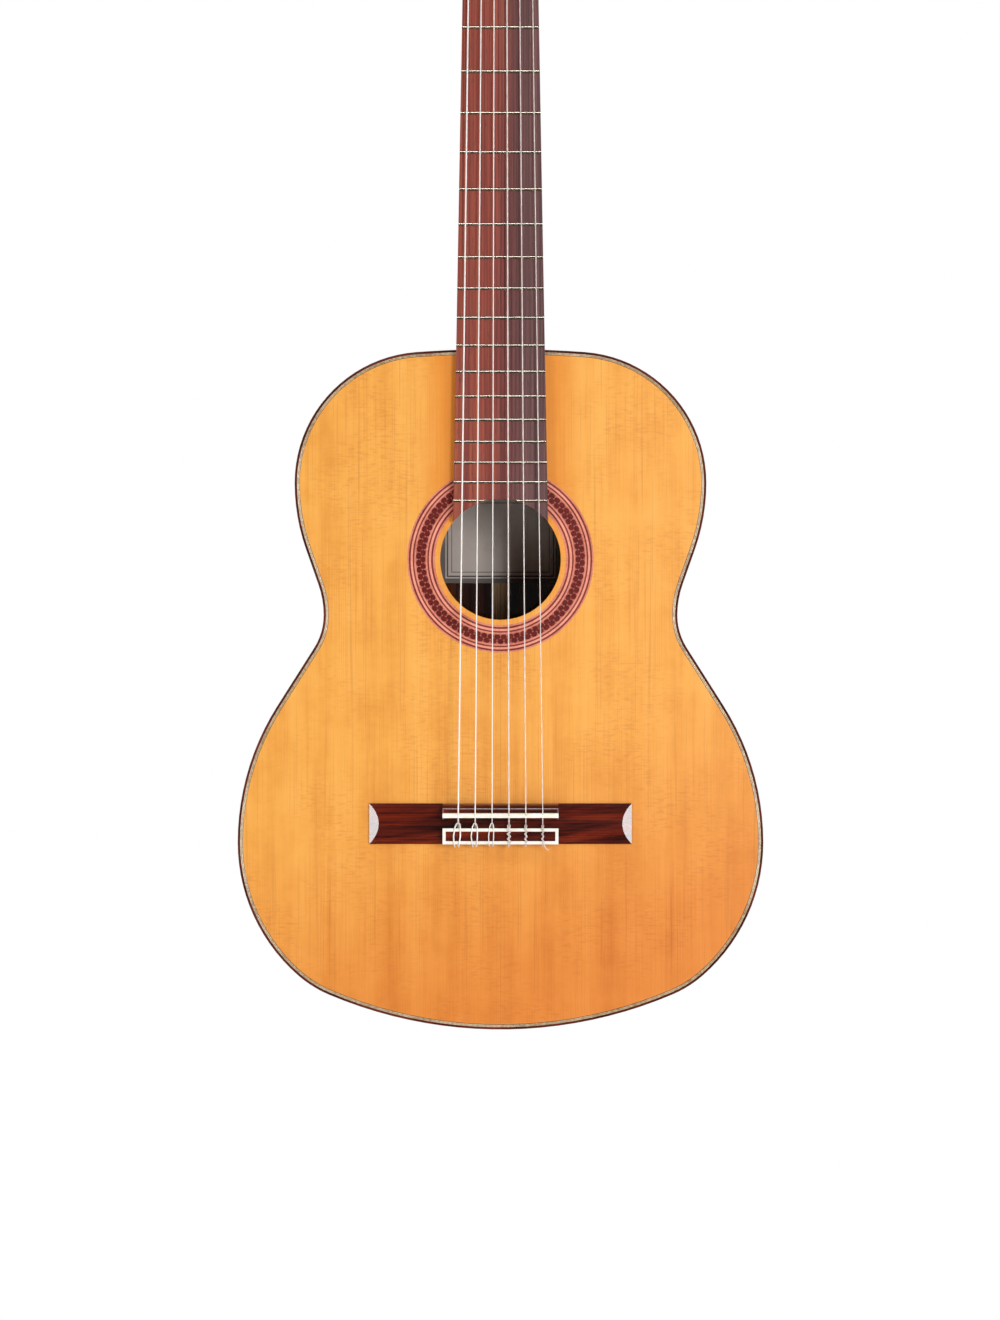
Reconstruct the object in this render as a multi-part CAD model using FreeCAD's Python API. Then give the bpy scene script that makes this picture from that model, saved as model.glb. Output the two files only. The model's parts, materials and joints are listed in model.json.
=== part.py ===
import FreeCAD, Part

import math
import os

os.makedirs("parts", exist_ok=True)
V = FreeCAD.Vector

# A six-string classical guitar with a 650 mm scale, in millimetres.
# It hangs upright: +Z runs up the neck, the soundboard faces -Y and the treble side is +X.
# The origin is on the centre line, in the plane of the soundboard, level with the nut's lower face.

# Scale, frets and strings
SCALE = 650.0
FRET_COUNT = 19
NUT_SPREAD = 42.8
SADDLE_SPREAD = 58.8
# Gauge, and the height of the string's underside over the soundboard at the saddle, bass to treble
STRINGS = [(1.09, 13.5), (0.89, 13.2), (0.74, 12.9), (1.02, 12.6), (0.82, 12.3), (0.71, 11.9)]
STRING_NUT_HEIGHT = 7.8
STRING_CLEARANCE = 4.0
STRING_BEND = 2.5

# Body: the right half of the outline as tangent arcs (radius, turn in degrees), from the neck
# joint to the tail. A negative turn bends inward, and a turn of 0 is a straight run of that length.
BODY_TOP = -327.0
BODY_LENGTH = 474.6
OUTLINE = [(820.0, 4.1), (91.5, 85.9), (139.0, 19.4), (26.2, 0.0), (64.3, -19.4), (42.8, -32.4),
           (47.8, 0.0), (177.8, 32.4), (123.0, 49.0)]
TAIL_CORNER = 80.0
TAIL = BODY_TOP - BODY_LENGTH
SIDE_THICKNESS = 2.0
BINDING_WIDTH = 1.6
BINDING_HEIGHT = 6.0
PURFLING_WIDTH = 2.0
TOP_THICKNESS = 2.5
BACK_THICKNESS = 2.5
BACK_RADIUS = 5000.0
BACK_DEPTH = 100.4
BACK_HIGH_POINT = -617.0
LINING_WIDTH = 6.0
LINING_HEIGHT = 14.0

# Soundhole and rosette
HOLE_CENTRE = -473.8
HOLE_RADIUS = 42.1
ROSETTE_INNER = 45.8
ROSETTE_OUTER = 65.0
ROSETTE_DEPTH = 1.2

# Neck, fingerboard and nut
NUT_WIDTH = 50.0
NUT_THICKNESS = 5.5
NUT_HEIGHT = 9.0
NUT_REAR_HEIGHT = 6.8
NUT_LAND = 1.8
BOARD_TAPER = 0.036
BOARD_THICKNESS = 6.0
FRET_WIDTH = 2.2
FRET_HEIGHT = 1.0
TANG_WIDTH = 0.6
TANG_DEPTH = 1.8
NECK_THICKNESS = 15.5
NECK_THICKNESS_JOINT = 17.5
HEEL_CAP_THICKNESS = 2.4
HEEL_END = 92.0

# Bridge, saddle and tie block
BRIDGE_FRONT = -643.9
BRIDGE_REAR = -672.2
BRIDGE_HALF = 91.5
BLOCK_HALF = 40.35
SADDLE_FRONT = -650.4
SADDLE_THICKNESS = 3.4
CHANNEL_REAR = -661.1
BLOCK_HEIGHT = 9.0
TRIM_WIDTH = 2.2
TRIM_THICKNESS = 1.0
TRIM_RISE = 0.8
STRING_HOLE = 1.1
STRING_HOLE_HEIGHT = 5.0

# Head, tilted back from the nut. Its own frame has Z up the head and Y = 0 on its front face.
HEAD_TILT = 15.0
HEAD_THICKNESS = 18.0
HEAD_HALF = 36.0
HEAD_FLARE = 26.0
HEAD_LENGTH = 182.0
VENEER_THICKNESS = 2.0
SLOT_INNER = 10.0
SLOT_OUTER = 26.0
SLOT_BOTTOM = 24.0
SLOT_TOP = 146.0
RAMP_LENGTH = 10.0
RAMP_DEPTH = 3.0

# Tuning machines: three to a plate, 35 mm apart, each a one-start worm on a 14-tooth gear
ROLLER_HEIGHTS = [58.0, 93.0, 128.0]
ROLLER_DEPTH = 8.0
ROLLER_RADIUS = 5.0
ROLLER_INNER_END = 4.6
# Where each string meets its roller, from the centre line, nearest roller first
ROLLER_STRING_X = [23.0, 20.5, 18.5]
RUNNING_FIT = 0.08
PLATE_THICKNESS = 1.2
PLATE_BOTTOM = 43.0
PLATE_TOP = 149.0
PLATE_SCREWS = [46.5, 78.0, 113.0, 145.0]
GEAR_TEETH = 14
MODULE = 0.9
GEAR_WIDTH = 3.0
GEAR_GAP = 2.5
WORM_RADIUS = 2.7
WORM_CORE = 1.6
WORM_HALF_LENGTH = 5.4
TOOTH_THICKNESS = 1.0
LUG_THICKNESS = 1.4
BUTTON_START = 25.0
BUTTON_LENGTH = 17.0
BUTTON_WIDTH = 15.0
BUTTON_THICKNESS = 7.0
BUTTON_BULGE = 17.4
BUTTON_NECK = 3.2
BUTTON_TIP = 2.5
BUTTON_BOSS = 3.0
BUTTON_GRIP = 9.0
COLLAR_RADIUS = 2.6
COLLAR_LENGTH = 2.0

nodes = {}


def box(x0, x1, y0, y1, z0, z1):
    return Part.makeBox(x1 - x0, y1 - y0, z1 - z0, V(x0, y0, z0))


def rod(start, end, radius):
    along = end - start
    return Part.makeCylinder(radius, along.Length, start, along)


def join(shapes):
    first, rest = shapes[0], shapes[1:]
    return first.fuse(rest).removeSplitter() if rest else first


def group(shapes):
    return Part.makeCompound([solid for shape in shapes for solid in shape.Solids])


def polygon(points):
    return Part.Face(Part.makePolygon(points + [points[0]]))


def mirror(shape):
    return shape.mirror(V(0, 0, 0), V(1, 0, 0))


def fret_z(number):
    return -SCALE * (1 - 2 ** (-number / 12.0))


def board_half(z):
    return (NUT_WIDTH - BOARD_TAPER * z) / 2


# Body outline

def outline_stations():
    """Pieces of the right half, each [(x, z, heading) at its start, middle and end]."""
    x, z, heading = 0.0, BODY_TOP, 0.0
    pieces = []
    for size, turn_degrees in OUTLINE:
        turn = math.radians(turn_degrees)
        if turn == 0:
            stations = [(x + size * part * math.cos(heading), z - size * part * math.sin(heading), heading)
                        for part in (0, 0.5, 1)]
        else:
            radius = math.copysign(size, turn)
            centre_x = x - radius * math.sin(heading)
            centre_z = z - radius * math.cos(heading)
            stations = []
            for part in (0, 0.5, 1):
                angle = heading + turn * part
                stations.append((centre_x + radius * math.sin(angle), centre_z + radius * math.cos(angle),
                                 angle))
        pieces.append(stations)
        x, z, heading = stations[-1]
    # The tail is an arc centred on the centre line, joined by a corner arc that is tangent to both
    corner_x = x - TAIL_CORNER * math.sin(heading)
    corner_z = z - TAIL_CORNER * math.cos(heading) - TAIL
    tail_radius = (corner_x ** 2 + corner_z ** 2 - TAIL_CORNER ** 2) / (2 * (corner_z - TAIL_CORNER))
    tail_heading = math.pi - math.atan2(corner_x, tail_radius - corner_z)
    corner = []
    for part in (0, 0.5, 1):
        angle = heading + (tail_heading - heading) * part
        corner.append((corner_x + TAIL_CORNER * math.sin(angle),
                       TAIL + corner_z + TAIL_CORNER * math.cos(angle), angle))
    pieces.append(corner)
    return pieces


STATIONS = outline_stations()


def outline_wire(inset, y):
    """The closed outline, moved inward by inset."""
    def place(station, side):
        x, z, heading = station
        return V(side * (x - inset * math.sin(heading)), y, z - inset * math.cos(heading))

    right = []
    left = []
    for start, middle, end in STATIONS[1:]:
        if abs(start[2] - end[2]) < 1e-9:
            right.append(Part.LineSegment(place(start, 1), place(end, 1)).toShape())
            left.append(Part.LineSegment(place(end, -1), place(start, -1)).toShape())
        else:
            right.append(Part.Arc(place(start, 1), place(middle, 1), place(end, 1)).toShape())
            left.append(Part.Arc(place(end, -1), place(middle, -1), place(start, -1)).toShape())
    shoulder = STATIONS[0][2]
    corner = STATIONS[-1][2]
    top = Part.Arc(place(shoulder, -1), V(0, y, BODY_TOP - inset), place(shoulder, 1)).toShape()
    tail = Part.Arc(place(corner, 1), V(0, y, TAIL + inset), place(corner, -1)).toShape()
    return Part.Wire([top] + right + [tail] + left[::-1])


def prism(inset, y0, y1):
    return Part.Face(outline_wire(inset, y0)).extrude(V(0, y1 - y0, 0))


def dome(depth_below):
    """The ball whose surface lies depth_below inside the outer face of the back."""
    return Part.makeSphere(BACK_RADIUS - depth_below, V(0, BACK_DEPTH - BACK_RADIUS, BACK_HIGH_POINT))


# Cutting and trimming boxes reach this far, clear of the whole body
DEEP = BACK_DEPTH + 10
WIDE = 250.0
CLEAR = 5.0
back_outside = dome(0)
back_inside = dome(BACK_THICKNESS)


# Strings run from the bridge's tie block over the saddle and the nut to their rollers.

def to_head(shape):
    shape = shape.copy()
    shape.rotate(V(0, 0, 0), V(1, 0, 0), -HEAD_TILT)
    shape.translate(V(0, 0, NUT_THICKNESS))
    return shape


def head_point(x, y, z):
    tilt = math.radians(HEAD_TILT)
    return V(x, y * math.cos(tilt) + z * math.sin(tilt),
             NUT_THICKNESS + z * math.cos(tilt) - y * math.sin(tilt))


def string_machine(index):
    """The side and roller of a string: the outer strings go to the rollers nearest the nut."""
    side = -1 if index < 3 else 1
    return side, index if index < 3 else 5 - index


def string_route(index):
    gauge, saddle_height = STRINGS[index]
    radius = gauge / 2
    part = index / 5 - 0.5
    x_nut, x_saddle = part * NUT_SPREAD, part * SADDLE_SPREAD
    side, machine = string_machine(index)
    saddle = V(x_saddle, -saddle_height - radius, SADDLE_FRONT - SADDLE_THICKNESS * 0.35)
    nut = V(x_nut, -STRING_NUT_HEIGHT - radius, 0.6)
    # The string meets the front of its roller on a line that just touches the barrel
    axis_y, axis_z = ROLLER_DEPTH, ROLLER_HEIGHTS[machine]
    tilt = math.radians(HEAD_TILT)
    nut_y = nut.y * math.cos(tilt) - (nut.z - NUT_THICKNESS) * math.sin(tilt)
    nut_z = nut.y * math.sin(tilt) + (nut.z - NUT_THICKNESS) * math.cos(tilt)
    away_y, away_z = axis_y - nut_y, axis_z - nut_z
    distance = math.hypot(away_y, away_z)
    reach = ROLLER_RADIUS + radius
    swing = math.asin(reach / distance)
    heading = math.atan2(away_z, away_y) + swing
    run = math.sqrt(distance ** 2 - reach ** 2) - STRING_CLEARANCE
    end_x = x_nut + (side * ROLLER_STRING_X[machine] - x_nut) * run / (run + STRING_CLEARANCE)
    roller = head_point(end_x, nut_y + run * math.cos(heading), nut_z + run * math.sin(heading))
    hole_front = V(x_saddle, -STRING_HOLE_HEIGHT, CHANNEL_REAR + 0.6)
    hole_rear = V(x_saddle, -STRING_HOLE_HEIGHT, BRIDGE_REAR - 0.6)
    return [hole_rear, hole_front, saddle, nut, roller], radius


def string_solid(index):
    """A round string on a path of straight runs, with a small arc over each bearing point."""
    route, radius = string_route(index)
    edges = []
    start = route[0]
    for before, corner, after in zip(route, route[1:], route[2:]):
        incoming = (corner - before).normalize()
        outgoing = (after - corner).normalize()
        turn = incoming.getAngle(outgoing)
        setback = STRING_BEND * math.tan(turn / 2)
        inward = (outgoing - incoming).normalize()
        crest = corner + inward * (STRING_BEND / math.cos(turn / 2) - STRING_BEND)
        enter, leave = corner - incoming * setback, corner + outgoing * setback
        edges += [Part.LineSegment(start, enter).toShape(), Part.Arc(enter, crest, leave).toShape()]
        start = leave
    edges.append(Part.LineSegment(start, route[-1]).toShape())
    first = (route[1] - route[0]).normalize()
    section = Part.Wire(Part.Circle(route[0], first, radius).toShape())
    return Part.Wire(edges).makePipeShell([section], True, True)


string_solids = [string_solid(index) for index in range(6)]
for index, solid in enumerate(string_solids):
    nodes["string_%d" % (6 - index)] = solid


# Soundboard, rosette, edge strips

EDGE = BINDING_WIDTH + PURFLING_WIDTH
NECK_GAP_HALF = 25.0
NECK_GAP_DEPTH = 12.0
NECK_GAP = box(-NECK_GAP_HALF, NECK_GAP_HALF, -1, BINDING_HEIGHT + 1,
               BODY_TOP - NECK_GAP_DEPTH, BODY_TOP + CLEAR)


def hole_disc(radius, y0, y1):
    return rod(V(0, y0, HOLE_CENTRE), V(0, y1, HOLE_CENTRE), radius)


rosette = hole_disc(ROSETTE_OUTER, 0, ROSETTE_DEPTH).cut(hole_disc(ROSETTE_INNER, -1, CLEAR))
soundboard = prism(EDGE, 0, TOP_THICKNESS).cut([rosette, hole_disc(HOLE_RADIUS, -1, CLEAR)])
binding_prism = prism(0, 0, BINDING_HEIGHT)
top_binding = binding_prism.cut([prism(BINDING_WIDTH, -1, BINDING_HEIGHT + 1), NECK_GAP])
top_purfling = prism(BINDING_WIDTH, 0, TOP_THICKNESS).cut([prism(EDGE, -1, CLEAR), NECK_GAP])
nodes["soundboard"] = soundboard
nodes["rosette"] = rosette
nodes["top_binding"] = top_binding
nodes["top_purfling"] = top_purfling

# Back with its inlaid centre strip and binding

BACK_LINE_WIDTH = 5.0
BACK_LINE_DEPTH = 1.2
BACK_START = 60.0
back = prism(BINDING_WIDTH, BACK_START, DEEP).common(back_outside).cut(back_inside)
back_line = box(-BACK_LINE_WIDTH / 2, BACK_LINE_WIDTH / 2, BACK_START, DEEP, TAIL, BODY_TOP)
back_line = back_line.common(back).cut(dome(BACK_LINE_DEPTH))
back_band = prism(0, 60, DEEP).common(back_outside).cut(dome(BINDING_HEIGHT))
back_binding = back_band.cut(prism(BINDING_WIDTH, 0, DEEP + CLEAR))
nodes["back_centre_inlay"] = back_line
nodes["back"] = back.cut(back_line)
nodes["back_binding"] = back_binding

# Sides, end graft, tail block

TONGUE_HALF = 22.0
GRAFT_TOP_HALF = 7.0
GRAFT_BACK_HALF = 11.0
shell = prism(0, TOP_THICKNESS, DEEP).common(back_inside)
shell = shell.cut([prism(SIDE_THICKNESS, 0, DEEP + CLEAR), top_binding, back_binding, NECK_GAP])
GRAFT_REACH = 12.0
graft_wedge = polygon([V(-GRAFT_TOP_HALF, 0, TAIL - CLEAR), V(GRAFT_TOP_HALF, 0, TAIL - CLEAR),
                       V(GRAFT_BACK_HALF, DEEP, TAIL - CLEAR), V(-GRAFT_BACK_HALF, DEEP, TAIL - CLEAR)])
graft_wedge = graft_wedge.extrude(V(0, 0, GRAFT_REACH))
nodes["end_graft"] = shell.common(graft_wedge)
heel_gap = box(-TONGUE_HALF, TONGUE_HALF, -1, DEEP, BODY_TOP - 30, BODY_TOP + CLEAR)
ribs = shell.cut([graft_wedge, heel_gap])
nodes["side_bass"] = group([ribs.common(box(-WIDE, 0, 0, DEEP, TAIL - CLEAR, BODY_TOP + CLEAR))])
nodes["side_treble"] = group([ribs.common(box(0, WIDE, 0, DEEP, TAIL - CLEAR, BODY_TOP + CLEAR))])

TAIL_BLOCK_HALF = 35.0
TAIL_BLOCK_DEPTH = 16.0
inside = prism(SIDE_THICKNESS, TOP_THICKNESS, DEEP).common(back_inside)
nodes["tail_block"] = inside.common(box(-TAIL_BLOCK_HALF, TAIL_BLOCK_HALF, 0, DEEP, TAIL - CLEAR,
                                        TAIL + TAIL_BLOCK_DEPTH))

# Neck: tapered shaft, heel, the tongue between the sides, and the foot inside the body

FOOT_HALF = 30.0
FOOT_BLOCK = 20.0
FOOT_LENGTH = 55.0
FOOT_THICKNESS = 12.0
SECTION_STEPS = 7
NECK_SQUARENESS = 2.3
# The heel's sections lie at these depths, and sweep in from the shaft to the slim end
HEEL_DEPTHS = [8.0, 14.0, 17.0, 19.0, 21.5, 24.5, 28.0, 33.0, 40.0, 50.0, 65.0, HEEL_END]
HEEL_END_WIDTH = 29.0
HEEL_END_LENGTH = 22.0
# Where the heel's width and length start to draw in, by how much in all, and how fast
HEEL_WIDTH_SWEEP = (14.0, 27.0, 28.0)
HEEL_LENGTH_SWEEP = (17.0, 34.0, 9.0)
HEEL_ROUNDNESS = 1.15


def neck_section(z, half, depth, squareness):
    """Flat front at y = 0, and a back that goes from round (2) to square (higher)."""
    points = []
    for step in range(-SECTION_STEPS, SECTION_STEPS + 1):
        angle = step / SECTION_STEPS * math.pi / 2
        across = math.copysign(abs(math.sin(angle)) ** (2 / squareness), angle)
        deep = max(math.cos(angle), 0.0) ** (2 / squareness)
        points.append(V(half * across, depth * deep, z))
    back_curve = Part.BSplineCurve()
    back_curve.interpolate(points)
    return Part.Wire([back_curve.toShape(), Part.LineSegment(points[-1], points[0]).toShape()])


def swept_in(end_size, sweep, depth):
    start, amount, pace = sweep
    return end_size + amount * math.exp((start - max(depth, start)) / pace)


def heel_section(depth):
    width = swept_in(HEEL_END_WIDTH, HEEL_WIDTH_SWEEP, depth)
    length = swept_in(HEEL_END_LENGTH, HEEL_LENGTH_SWEEP, depth)
    points = []
    for step in range(-SECTION_STEPS, SECTION_STEPS + 1):
        angle = step / SECTION_STEPS * math.pi / 2
        points.append(V(width / 2 * math.sin(angle), depth,
                        BODY_TOP + length * max(math.cos(angle), 0.0) ** HEEL_ROUNDNESS))
    root = [points[-1] - V(0, 0, 4), points[0] - V(0, 0, 4)]
    front_curve = Part.BSplineCurve()
    front_curve.interpolate(points)
    corners = [points[-1]] + root + [points[0]]
    return Part.Wire([front_curve.toShape()]
                     + [Part.LineSegment(a, b).toShape() for a, b in zip(corners, corners[1:])])


shaft_ends = [neck_section(NUT_THICKNESS, board_half(0), NECK_THICKNESS, NECK_SQUARENESS),
              neck_section(BODY_TOP - 3, board_half(BODY_TOP), NECK_THICKNESS_JOINT, NECK_SQUARENESS)]
shaft = Part.makeLoft(shaft_ends, True, True)
heel = Part.makeLoft([heel_section(depth) for depth in HEEL_DEPTHS], True, True)
body_block = prism(0, -1, DEEP)
outer_neck = join([shaft, heel]).cut(body_block)
tongue = prism(0, 0, DEEP).common(dome(BINDING_HEIGHT))
tongue = tongue.common(box(-TONGUE_HALF, TONGUE_HALF, 0, DEEP, BODY_TOP - FOOT_BLOCK, BODY_TOP + 1))
foot_block = inside.common(box(-FOOT_HALF, FOOT_HALF, 0, DEEP, BODY_TOP - FOOT_BLOCK, BODY_TOP + 1))
foot = inside.common(box(-FOOT_HALF, FOOT_HALF, 0, DEEP, BODY_TOP - FOOT_LENGTH, BODY_TOP + 1))
foot = foot.cut(dome(BACK_THICKNESS + FOOT_THICKNESS))
neck_cap = binding_prism.common(NECK_GAP)
neck = join([outer_neck, tongue, foot_block, foot, neck_cap])
heel_cap_slab = box(-WIDE, WIDE, HEEL_END - HEEL_CAP_THICKNESS, DEEP, BODY_TOP - CLEAR, 0)
heel_cap = outer_neck.common(heel_cap_slab)
body_plates = [soundboard, back_binding, nodes["side_bass"], nodes["side_treble"], nodes["back"]]
neck = neck.cut(body_plates + [heel_cap])
nodes["heel_cap"] = heel_cap
nodes["neck"] = neck

# Linings glue the plates to the sides, and stop at the two end blocks

lining_ring = prism(SIDE_THICKNESS, TOP_THICKNESS, DEEP)
lining_ring = lining_ring.cut(prism(SIDE_THICKNESS + LINING_WIDTH, 0, DEEP + CLEAR))
top_lining = lining_ring.common(box(-WIDE, WIDE, 0, TOP_THICKNESS + LINING_HEIGHT, TAIL, BODY_TOP))
back_lining = lining_ring.common(back_inside).cut(dome(BACK_THICKNESS + LINING_HEIGHT))
foot_clear = box(-FOOT_HALF, FOOT_HALF, 0, DEEP, BODY_TOP - FOOT_LENGTH / 2, BODY_TOP + CLEAR)
linings = [part.cut([nodes["tail_block"], foot_clear]) for part in (top_lining, back_lining)]

# Bars and fan struts under the soundboard, braces and seam strip on the back

BAR_WIDTH = 6.0
BAR_HEIGHT = 16.0
FAN_WIDTH = 5.0
FAN_HEIGHT = 4.5
BAR_HEIGHTS = [-398.0, -545.0]
BAR_WALL = 0.6
GRAFT_PLATE = (-415.0, -404.0, 3.0)
GRAFT_PLATE_HALF = 90.0
FAN_TOP = -552.0
FAN_BOTTOM = -765.0
FAN_FOCUS = -190.0
FAN_SPACING = 24.0
# The outer struts stop higher, each by this much more than the one inside it
FAN_STEP = 9.0
FAN_EDGE_GAP = 10.0
BACK_BRACES = [-395.0, -530.0, -665.0]
SEAM_WIDTH = 13.0
SEAM_THICKNESS = 1.5
LINING_INNER = SIDE_THICKNESS + LINING_WIDTH
room = prism(LINING_INNER, TOP_THICKNESS, DEEP)


def arched_bar(start, end, width, height):
    """A strut on the soundboard's inner face, with a rounded crest."""
    along = end - start
    across = V(along.z, 0, -along.x).normalize() * (width / 2)
    wall = V(0, height * BAR_WALL, 0)
    feet = [start - across, start + across]
    crest = Part.Arc(feet[1] + wall, start + V(0, height, 0), feet[0] + wall).toShape()
    corners = [feet[0] + wall, feet[0], feet[1], feet[1] + wall]
    sides = [Part.LineSegment(a, b).toShape() for a, b in zip(corners, corners[1:])]
    return Part.Face(Part.Wire([crest] + sides)).extrude(along)


bars = [arched_bar(V(-WIDE, TOP_THICKNESS, z), V(WIDE, TOP_THICKNESS, z), BAR_WIDTH, BAR_HEIGHT).common(room)
        for z in BAR_HEIGHTS]
low, high, thickness = GRAFT_PLATE
bars.append(box(-GRAFT_PLATE_HALF, GRAFT_PLATE_HALF, TOP_THICKNESS, TOP_THICKNESS + thickness, low, high))
nodes["harmonic_bars"] = group(bars)

struts = []
for step in range(-3, 4):
    x = step * FAN_SPACING
    spread = (FAN_FOCUS - FAN_BOTTOM) / (FAN_FOCUS - FAN_TOP)
    foot_point = V(x * spread, TOP_THICKNESS, FAN_BOTTOM)
    strut = arched_bar(V(x, TOP_THICKNESS, FAN_TOP), foot_point, FAN_WIDTH, FAN_HEIGHT)
    fan_zone = prism(LINING_INNER + FAN_EDGE_GAP, TOP_THICKNESS, DEEP)
    below = box(-WIDE, WIDE, 0, DEEP, TAIL, FAN_BOTTOM + abs(step) * FAN_STEP)
    struts.append(strut.common(fan_zone.cut(below)))
nodes["fan_braces"] = group(struts)

brace_zone = room.common(back_inside).cut(dome(BACK_THICKNESS + BAR_HEIGHT))
braces = [brace_zone.common(box(-WIDE, WIDE, 0, DEEP, z - BAR_WIDTH / 2, z + BAR_WIDTH / 2))
          for z in BACK_BRACES]
nodes["back_braces"] = group(braces)
LABEL_HALF = 44.0
LABEL_BOTTOM = -489.0
LABEL_TOP = -424.0
LABEL_THICKNESS = 0.3
seam_zone = room.common(back_inside).cut(dome(BACK_THICKNESS + SEAM_THICKNESS))
seam_stops = [TAIL + TAIL_BLOCK_DEPTH] + BACK_BRACES[::-1] + [BODY_TOP - FOOT_LENGTH]
seam_pieces = []
for lower, upper in zip(seam_stops, seam_stops[1:]):
    bottom = lower + (BAR_WIDTH / 2 if lower in BACK_BRACES else 0.5)
    top = upper - (BAR_WIDTH / 2 if upper in BACK_BRACES else 0.5)
    seam_pieces.append(box(-SEAM_WIDTH / 2, SEAM_WIDTH / 2, 0, DEEP, bottom, top))
label_zone = box(-LABEL_HALF, LABEL_HALF, 0, DEEP, LABEL_BOTTOM, LABEL_TOP)
nodes["back_seam_strip"] = group([seam_zone.common(piece).cut(label_zone) for piece in seam_pieces])
nodes["label"] = label_zone.common(back_inside).cut(dome(BACK_THICKNESS + LABEL_THICKNESS))
nodes["linings"] = group(linings)

# Fingerboard with its frets, and the nut

# The board's end corners lie on the soundhole's edge
BOARD_END = HOLE_CENTRE + math.sqrt(HOLE_RADIUS ** 2 - board_half(HOLE_CENTRE + HOLE_RADIUS / 2) ** 2)
board = polygon([V(-board_half(0), 0, 0), V(board_half(0), 0, 0), V(board_half(BOARD_END), 0, BOARD_END),
                 V(-board_half(BOARD_END), 0, BOARD_END)]).extrude(V(0, -BOARD_THICKNESS, 0))
board = board.cut(hole_disc(HOLE_RADIUS, -BOARD_THICKNESS - 1, 1))


def fret(number):
    z = fret_z(number)
    half = board_half(z)
    top = -BOARD_THICKNESS
    crown = [V(-half, top, z - FRET_WIDTH / 2), V(-half, top - FRET_HEIGHT, z),
             V(-half, top, z + FRET_WIDTH / 2)]
    outline = [Part.Arc(*crown).toShape(), Part.LineSegment(crown[2], crown[0]).toShape()]
    face = Part.Face(Part.Wire(outline))
    tang = box(-half, half, top - 0.1, top + TANG_DEPTH, z - TANG_WIDTH / 2, z + TANG_WIDTH / 2)
    return join([face.extrude(V(2 * half, 0, 0)), tang]).cut(hole_disc(HOLE_RADIUS + 0.4, top - CLEAR, 1))


frets = [fret(number) for number in range(1, FRET_COUNT + 1)]
nodes["frets"] = group(frets)
nodes["fingerboard"] = board.cut(frets)
nut_half = NUT_WIDTH / 2
nut = polygon([V(-nut_half, 0, 0), V(-nut_half, -NUT_HEIGHT, 0), V(-nut_half, -NUT_HEIGHT, NUT_LAND),
               V(-nut_half, -NUT_REAR_HEIGHT, NUT_THICKNESS), V(-nut_half, 0, NUT_THICKNESS)])
nut = nut.extrude(V(NUT_WIDTH, 0, 0))
nodes["nut"] = nut.cut(string_solids)

# Bridge: low domed wings, a saddle ridge, a channel, and the block the strings are tied to

WING_HEIGHT = 3.8
WING_EDGE = 1.0
WING_BEVEL = 6.6
BRIDGE_MIDDLE = (BRIDGE_FRONT + BRIDGE_REAR) / 2
WING_BEVEL_LIP = 0.4
CHANNEL_FLOOR = 3.4
RIDGE_HEIGHT = 8.4
RIDGE_FRONT = 1.6
RIDGE_BEHIND = 0.9
RIDGE_SLOPE = 1.3
RIDGE_CHAMFER = 0.8
APRON_BELLY = (1.5, 6.2)
SLOT_FLOOR = 3.0
SADDLE_CROWN = 0.25
SADDLE_FILLET = 0.9
TALL = 20.0


def bridge_wing_face(x):
    front, rear = V(x, 0, BRIDGE_FRONT), V(x, 0, BRIDGE_REAR)
    rise = V(0, -WING_EDGE, 0)
    crest = Part.Arc(front + rise, V(x, -WING_HEIGHT, BRIDGE_MIDDLE), rear + rise).toShape()
    lines = [Part.LineSegment(rear + rise, rear).toShape(), Part.LineSegment(rear, front).toShape(),
             Part.LineSegment(front, front + rise).toShape()]
    return Part.Face(Part.Wire([crest] + lines))


wings = bridge_wing_face(-BRIDGE_HALF).extrude(V(2 * BRIDGE_HALF, 0, 0))
bevel = polygon([V(BRIDGE_HALF + 1, WING_BEVEL_LIP - WING_EDGE, BRIDGE_REAR - 1),
                 V(BRIDGE_HALF + 1, -TALL, BRIDGE_REAR - 1),
                 V(BRIDGE_HALF - WING_BEVEL, -TALL, BRIDGE_REAR - 1),
                 V(BRIDGE_HALF - WING_BEVEL, -WING_HEIGHT, BRIDGE_REAR - 1)])
bevel = bevel.extrude(V(0, 0, BRIDGE_FRONT - BRIDGE_REAR + 2))
wings = wings.cut([bevel, mirror(bevel)])
SADDLE_REAR = SADDLE_FRONT - SADDLE_THICKNESS
belly_back, belly_height = APRON_BELLY
ridge_start = V(-BLOCK_HALF, -1.6, BRIDGE_FRONT)
ridge_top = V(-BLOCK_HALF, -RIDGE_HEIGHT, SADDLE_FRONT + RIDGE_FRONT)
apron = Part.Arc(ridge_start, V(-BLOCK_HALF, -belly_height, BRIDGE_FRONT - belly_back), ridge_top).toShape()
profile = [ridge_top, V(-BLOCK_HALF, -RIDGE_HEIGHT, SADDLE_REAR - RIDGE_BEHIND),
           V(-BLOCK_HALF, -CHANNEL_FLOOR, SADDLE_REAR - RIDGE_BEHIND - RIDGE_SLOPE),
           V(-BLOCK_HALF, -CHANNEL_FLOOR, CHANNEL_REAR), V(-BLOCK_HALF, -BLOCK_HEIGHT, CHANNEL_REAR),
           V(-BLOCK_HALF, -BLOCK_HEIGHT, BRIDGE_REAR), V(-BLOCK_HALF, 0, BRIDGE_REAR),
           V(-BLOCK_HALF, 0, BRIDGE_FRONT), ridge_start]
block_lines = [Part.LineSegment(a, b).toShape() for a, b in zip(profile, profile[1:])]
block = Part.Face(Part.Wire([apron] + block_lines)).extrude(V(2 * BLOCK_HALF, 0, 0))
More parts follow.
